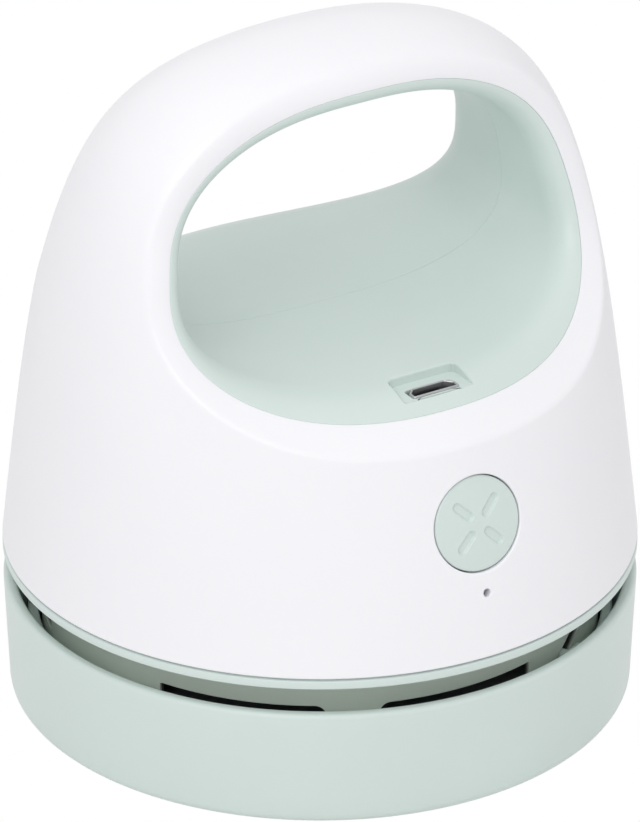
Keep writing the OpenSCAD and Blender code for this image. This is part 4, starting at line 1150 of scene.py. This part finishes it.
def makeInlet():
    flat = np.array(softLine(inlet["outline"], 5))
    tangent = np.roll(flat, -1, 0) - np.roll(flat, 1, 0)
    outwards = np.stack([tangent[:, 1], -tangent[:, 0]], 1) / np.linalg.norm(tangent, axis=1)[:, None]

    def ring(grow, z):
        spots = flat + outwards * grow
        return np.column_stack([spots[:, 0], spots[:, 1] + recess["y"], np.full(len(flat), z)])
    low, top, wall = inlet["lowZ"], inlet["topZ"], inlet["wall"]
    bm = bmesh.new()
    stack(bm, [ring(0, low), ring(0, top - 0.08), ring(-0.03, top - 0.02), ring(-0.09, top),
               ring(-wall + 0.09, top), ring(-wall + 0.02, top - 0.04), ring(-wall, top - 0.12),
               ring(-wall, low + 0.4)], capFirst=True, capLast=True)
    finishPiece(bm, "inletShell", "housing", "steel", ("charge_socket",), sharp=50)
    bm = bmesh.new()
    stack(bm, [ring(-wall - 0.02, low + 0.45), ring(-wall - 0.02, low + 1.2)], capFirst=True, capLast=True)
    bmesh.ops.recalc_face_normals(bm, faces=bm.faces)
    join(bm, bevelledBar(inlet["tongue"], 0.12, (0, recess["y"], low + inlet["tongueZ"])))
    finishPiece(bm, "inletTongue", "housing", "black_plastic", ("socket_core",), sharp=50)
    bm = bmesh.new()
    for k in range(inlet["contacts"]):
        x = (k - inlet["contacts"] // 2) * inlet["contactApart"]
        place = (x, recess["y"] + inlet["contactY"], low + inlet["contactZ"])
        join(bm, bevelledBar(inlet["contact"], 0.04, place, segments=1))
    finishPiece(bm, "inletContacts", "housing", "brass", (), sharp=50)


makeInlet()
print("stage 8: socket")


stage = {"half": 3.0, "drop": 0.0002, "colour": (0.86, 0.86, 0.86, 1), "daylight": 0.64}


def makeFloor():
    # pale and matt, plain white to the camera and in reflections
    bm = bmesh.new()
    bmesh.ops.create_grid(bm, x_segments=1, y_segments=1, size=stage["half"])
    mesh = bpy.data.meshes.new("floor")
    bm.to_mesh(mesh)
    bm.free()
    floor = bpy.data.objects.new("floor", mesh)
    floor.location.z = -stage["drop"]
    scene.collection.objects.link(floor)
    material, tree, shader = startMaterial("paleFloor")
    shader.inputs["Base Color"].default_value = stage["colour"]
    shader.inputs["Roughness"].default_value = 0.9
    shader.inputs["Specular IOR Level"].default_value = 0.1
    glow = addNode(tree, "ShaderNodeEmission", None, {"Strength": 1.0})
    path = addNode(tree, "ShaderNodeLightPath")
    either = addNode(tree, "ShaderNodeMath", {"operation": "MAXIMUM"})
    blend = addNode(tree, "ShaderNodeMixShader")
    link = tree.links.new
    link(path.outputs["Is Camera Ray"], either.inputs[0])
    link(path.outputs["Is Glossy Ray"], either.inputs[1])
    link(either.outputs[0], blend.inputs[0])
    link(shader.outputs[0], blend.inputs[1])
    link(glow.outputs[0], blend.inputs[2])
    link(blend.outputs[0], tree.nodes["Material Output"].inputs[0])
    mesh.materials.append(material)


def makeWorld():
    # white to the camera, and dimmer as a light
    world = bpy.data.worlds.new("studio")
    world.use_nodes = True
    scene.world = world
    back = world.node_tree.nodes["Background"]
    back.inputs["Color"].default_value = (1, 1, 1, 1)
    wpath = addNode(world.node_tree, "ShaderNodeLightPath")
    seen = mapRange(world.node_tree, 0.0, 1.0, stage["daylight"], 1.0)
    world.node_tree.links.new(wpath.outputs["Is Camera Ray"], seen.inputs["Value"])
    world.node_tree.links.new(seen.outputs[0], back.inputs["Strength"])


lampAim = (0, 0, 0.05)
lamps = {        # place, size and watts
    "keyLeft": ((-0.55, -0.55, 0.75), (0.7, 0.7), 3.85),
    "fillRight": ((0.75, -0.35, 0.35), (0.6, 0.8), 0.28),
    "topSoft": ((0.05, 0.1, 0.95), (0.8, 0.8), 1.3),
    "rimBack": ((0.25, 0.75, 0.6), (0.8, 0.6), 0.43),
    "fillFront": ((0.15, -0.9, 0.35), (0.6, 0.6), 0.15),
}


def areaLight(name, place, size, power):
    data = bpy.data.lights.new(name, "AREA")
    data.shape = "RECTANGLE"
    data.size, data.size_y = size
    data.energy = power
    lamp = bpy.data.objects.new(name, data)
    lamp.location = place
    lamp.rotation_euler = (Vector(lampAim) - Vector(place)).to_track_quat("-Z", "Y").to_euler()
    scene.collection.objects.link(lamp)


# pixels is how many of the picture's 640 a metre takes at one metre's distance
view = {"azimuth": math.radians(-32.0), "elevation": math.radians(26.96), "distance": 1.0,
        "look": Vector((0.0, 0.0, 0.0423)), "sensor": 36.0, "pixels": 6960, "pictureWide": 640}


def makeCamera():
    a, e = view["azimuth"], view["elevation"]
    back = Vector((math.sin(a) * math.cos(e), -math.cos(a) * math.cos(e), math.sin(e)))
    data = bpy.data.cameras.new("photoCamera")
    data.sensor_fit = "HORIZONTAL"
    data.sensor_width = view["sensor"]
    data.lens = view["sensor"] * view["pixels"] / view["pictureWide"]
    data.clip_start, data.clip_end = 0.05, 20.0
    camera = bpy.data.objects.new("photoCamera", data)
    camera.location = view["look"] + back * view["distance"]
    camera.rotation_mode = "QUATERNION"
    camera.rotation_quaternion = (-back).to_track_quat("-Z", "Y")
    scene.collection.objects.link(camera)
    scene.camera = camera


makeFloor()
makeWorld()
for name, (place, size, power) in lamps.items():
    areaLight(name, place, size, power)
makeCamera()
scene.view_settings.view_transform = "Standard"
print("stage 9: light and camera")
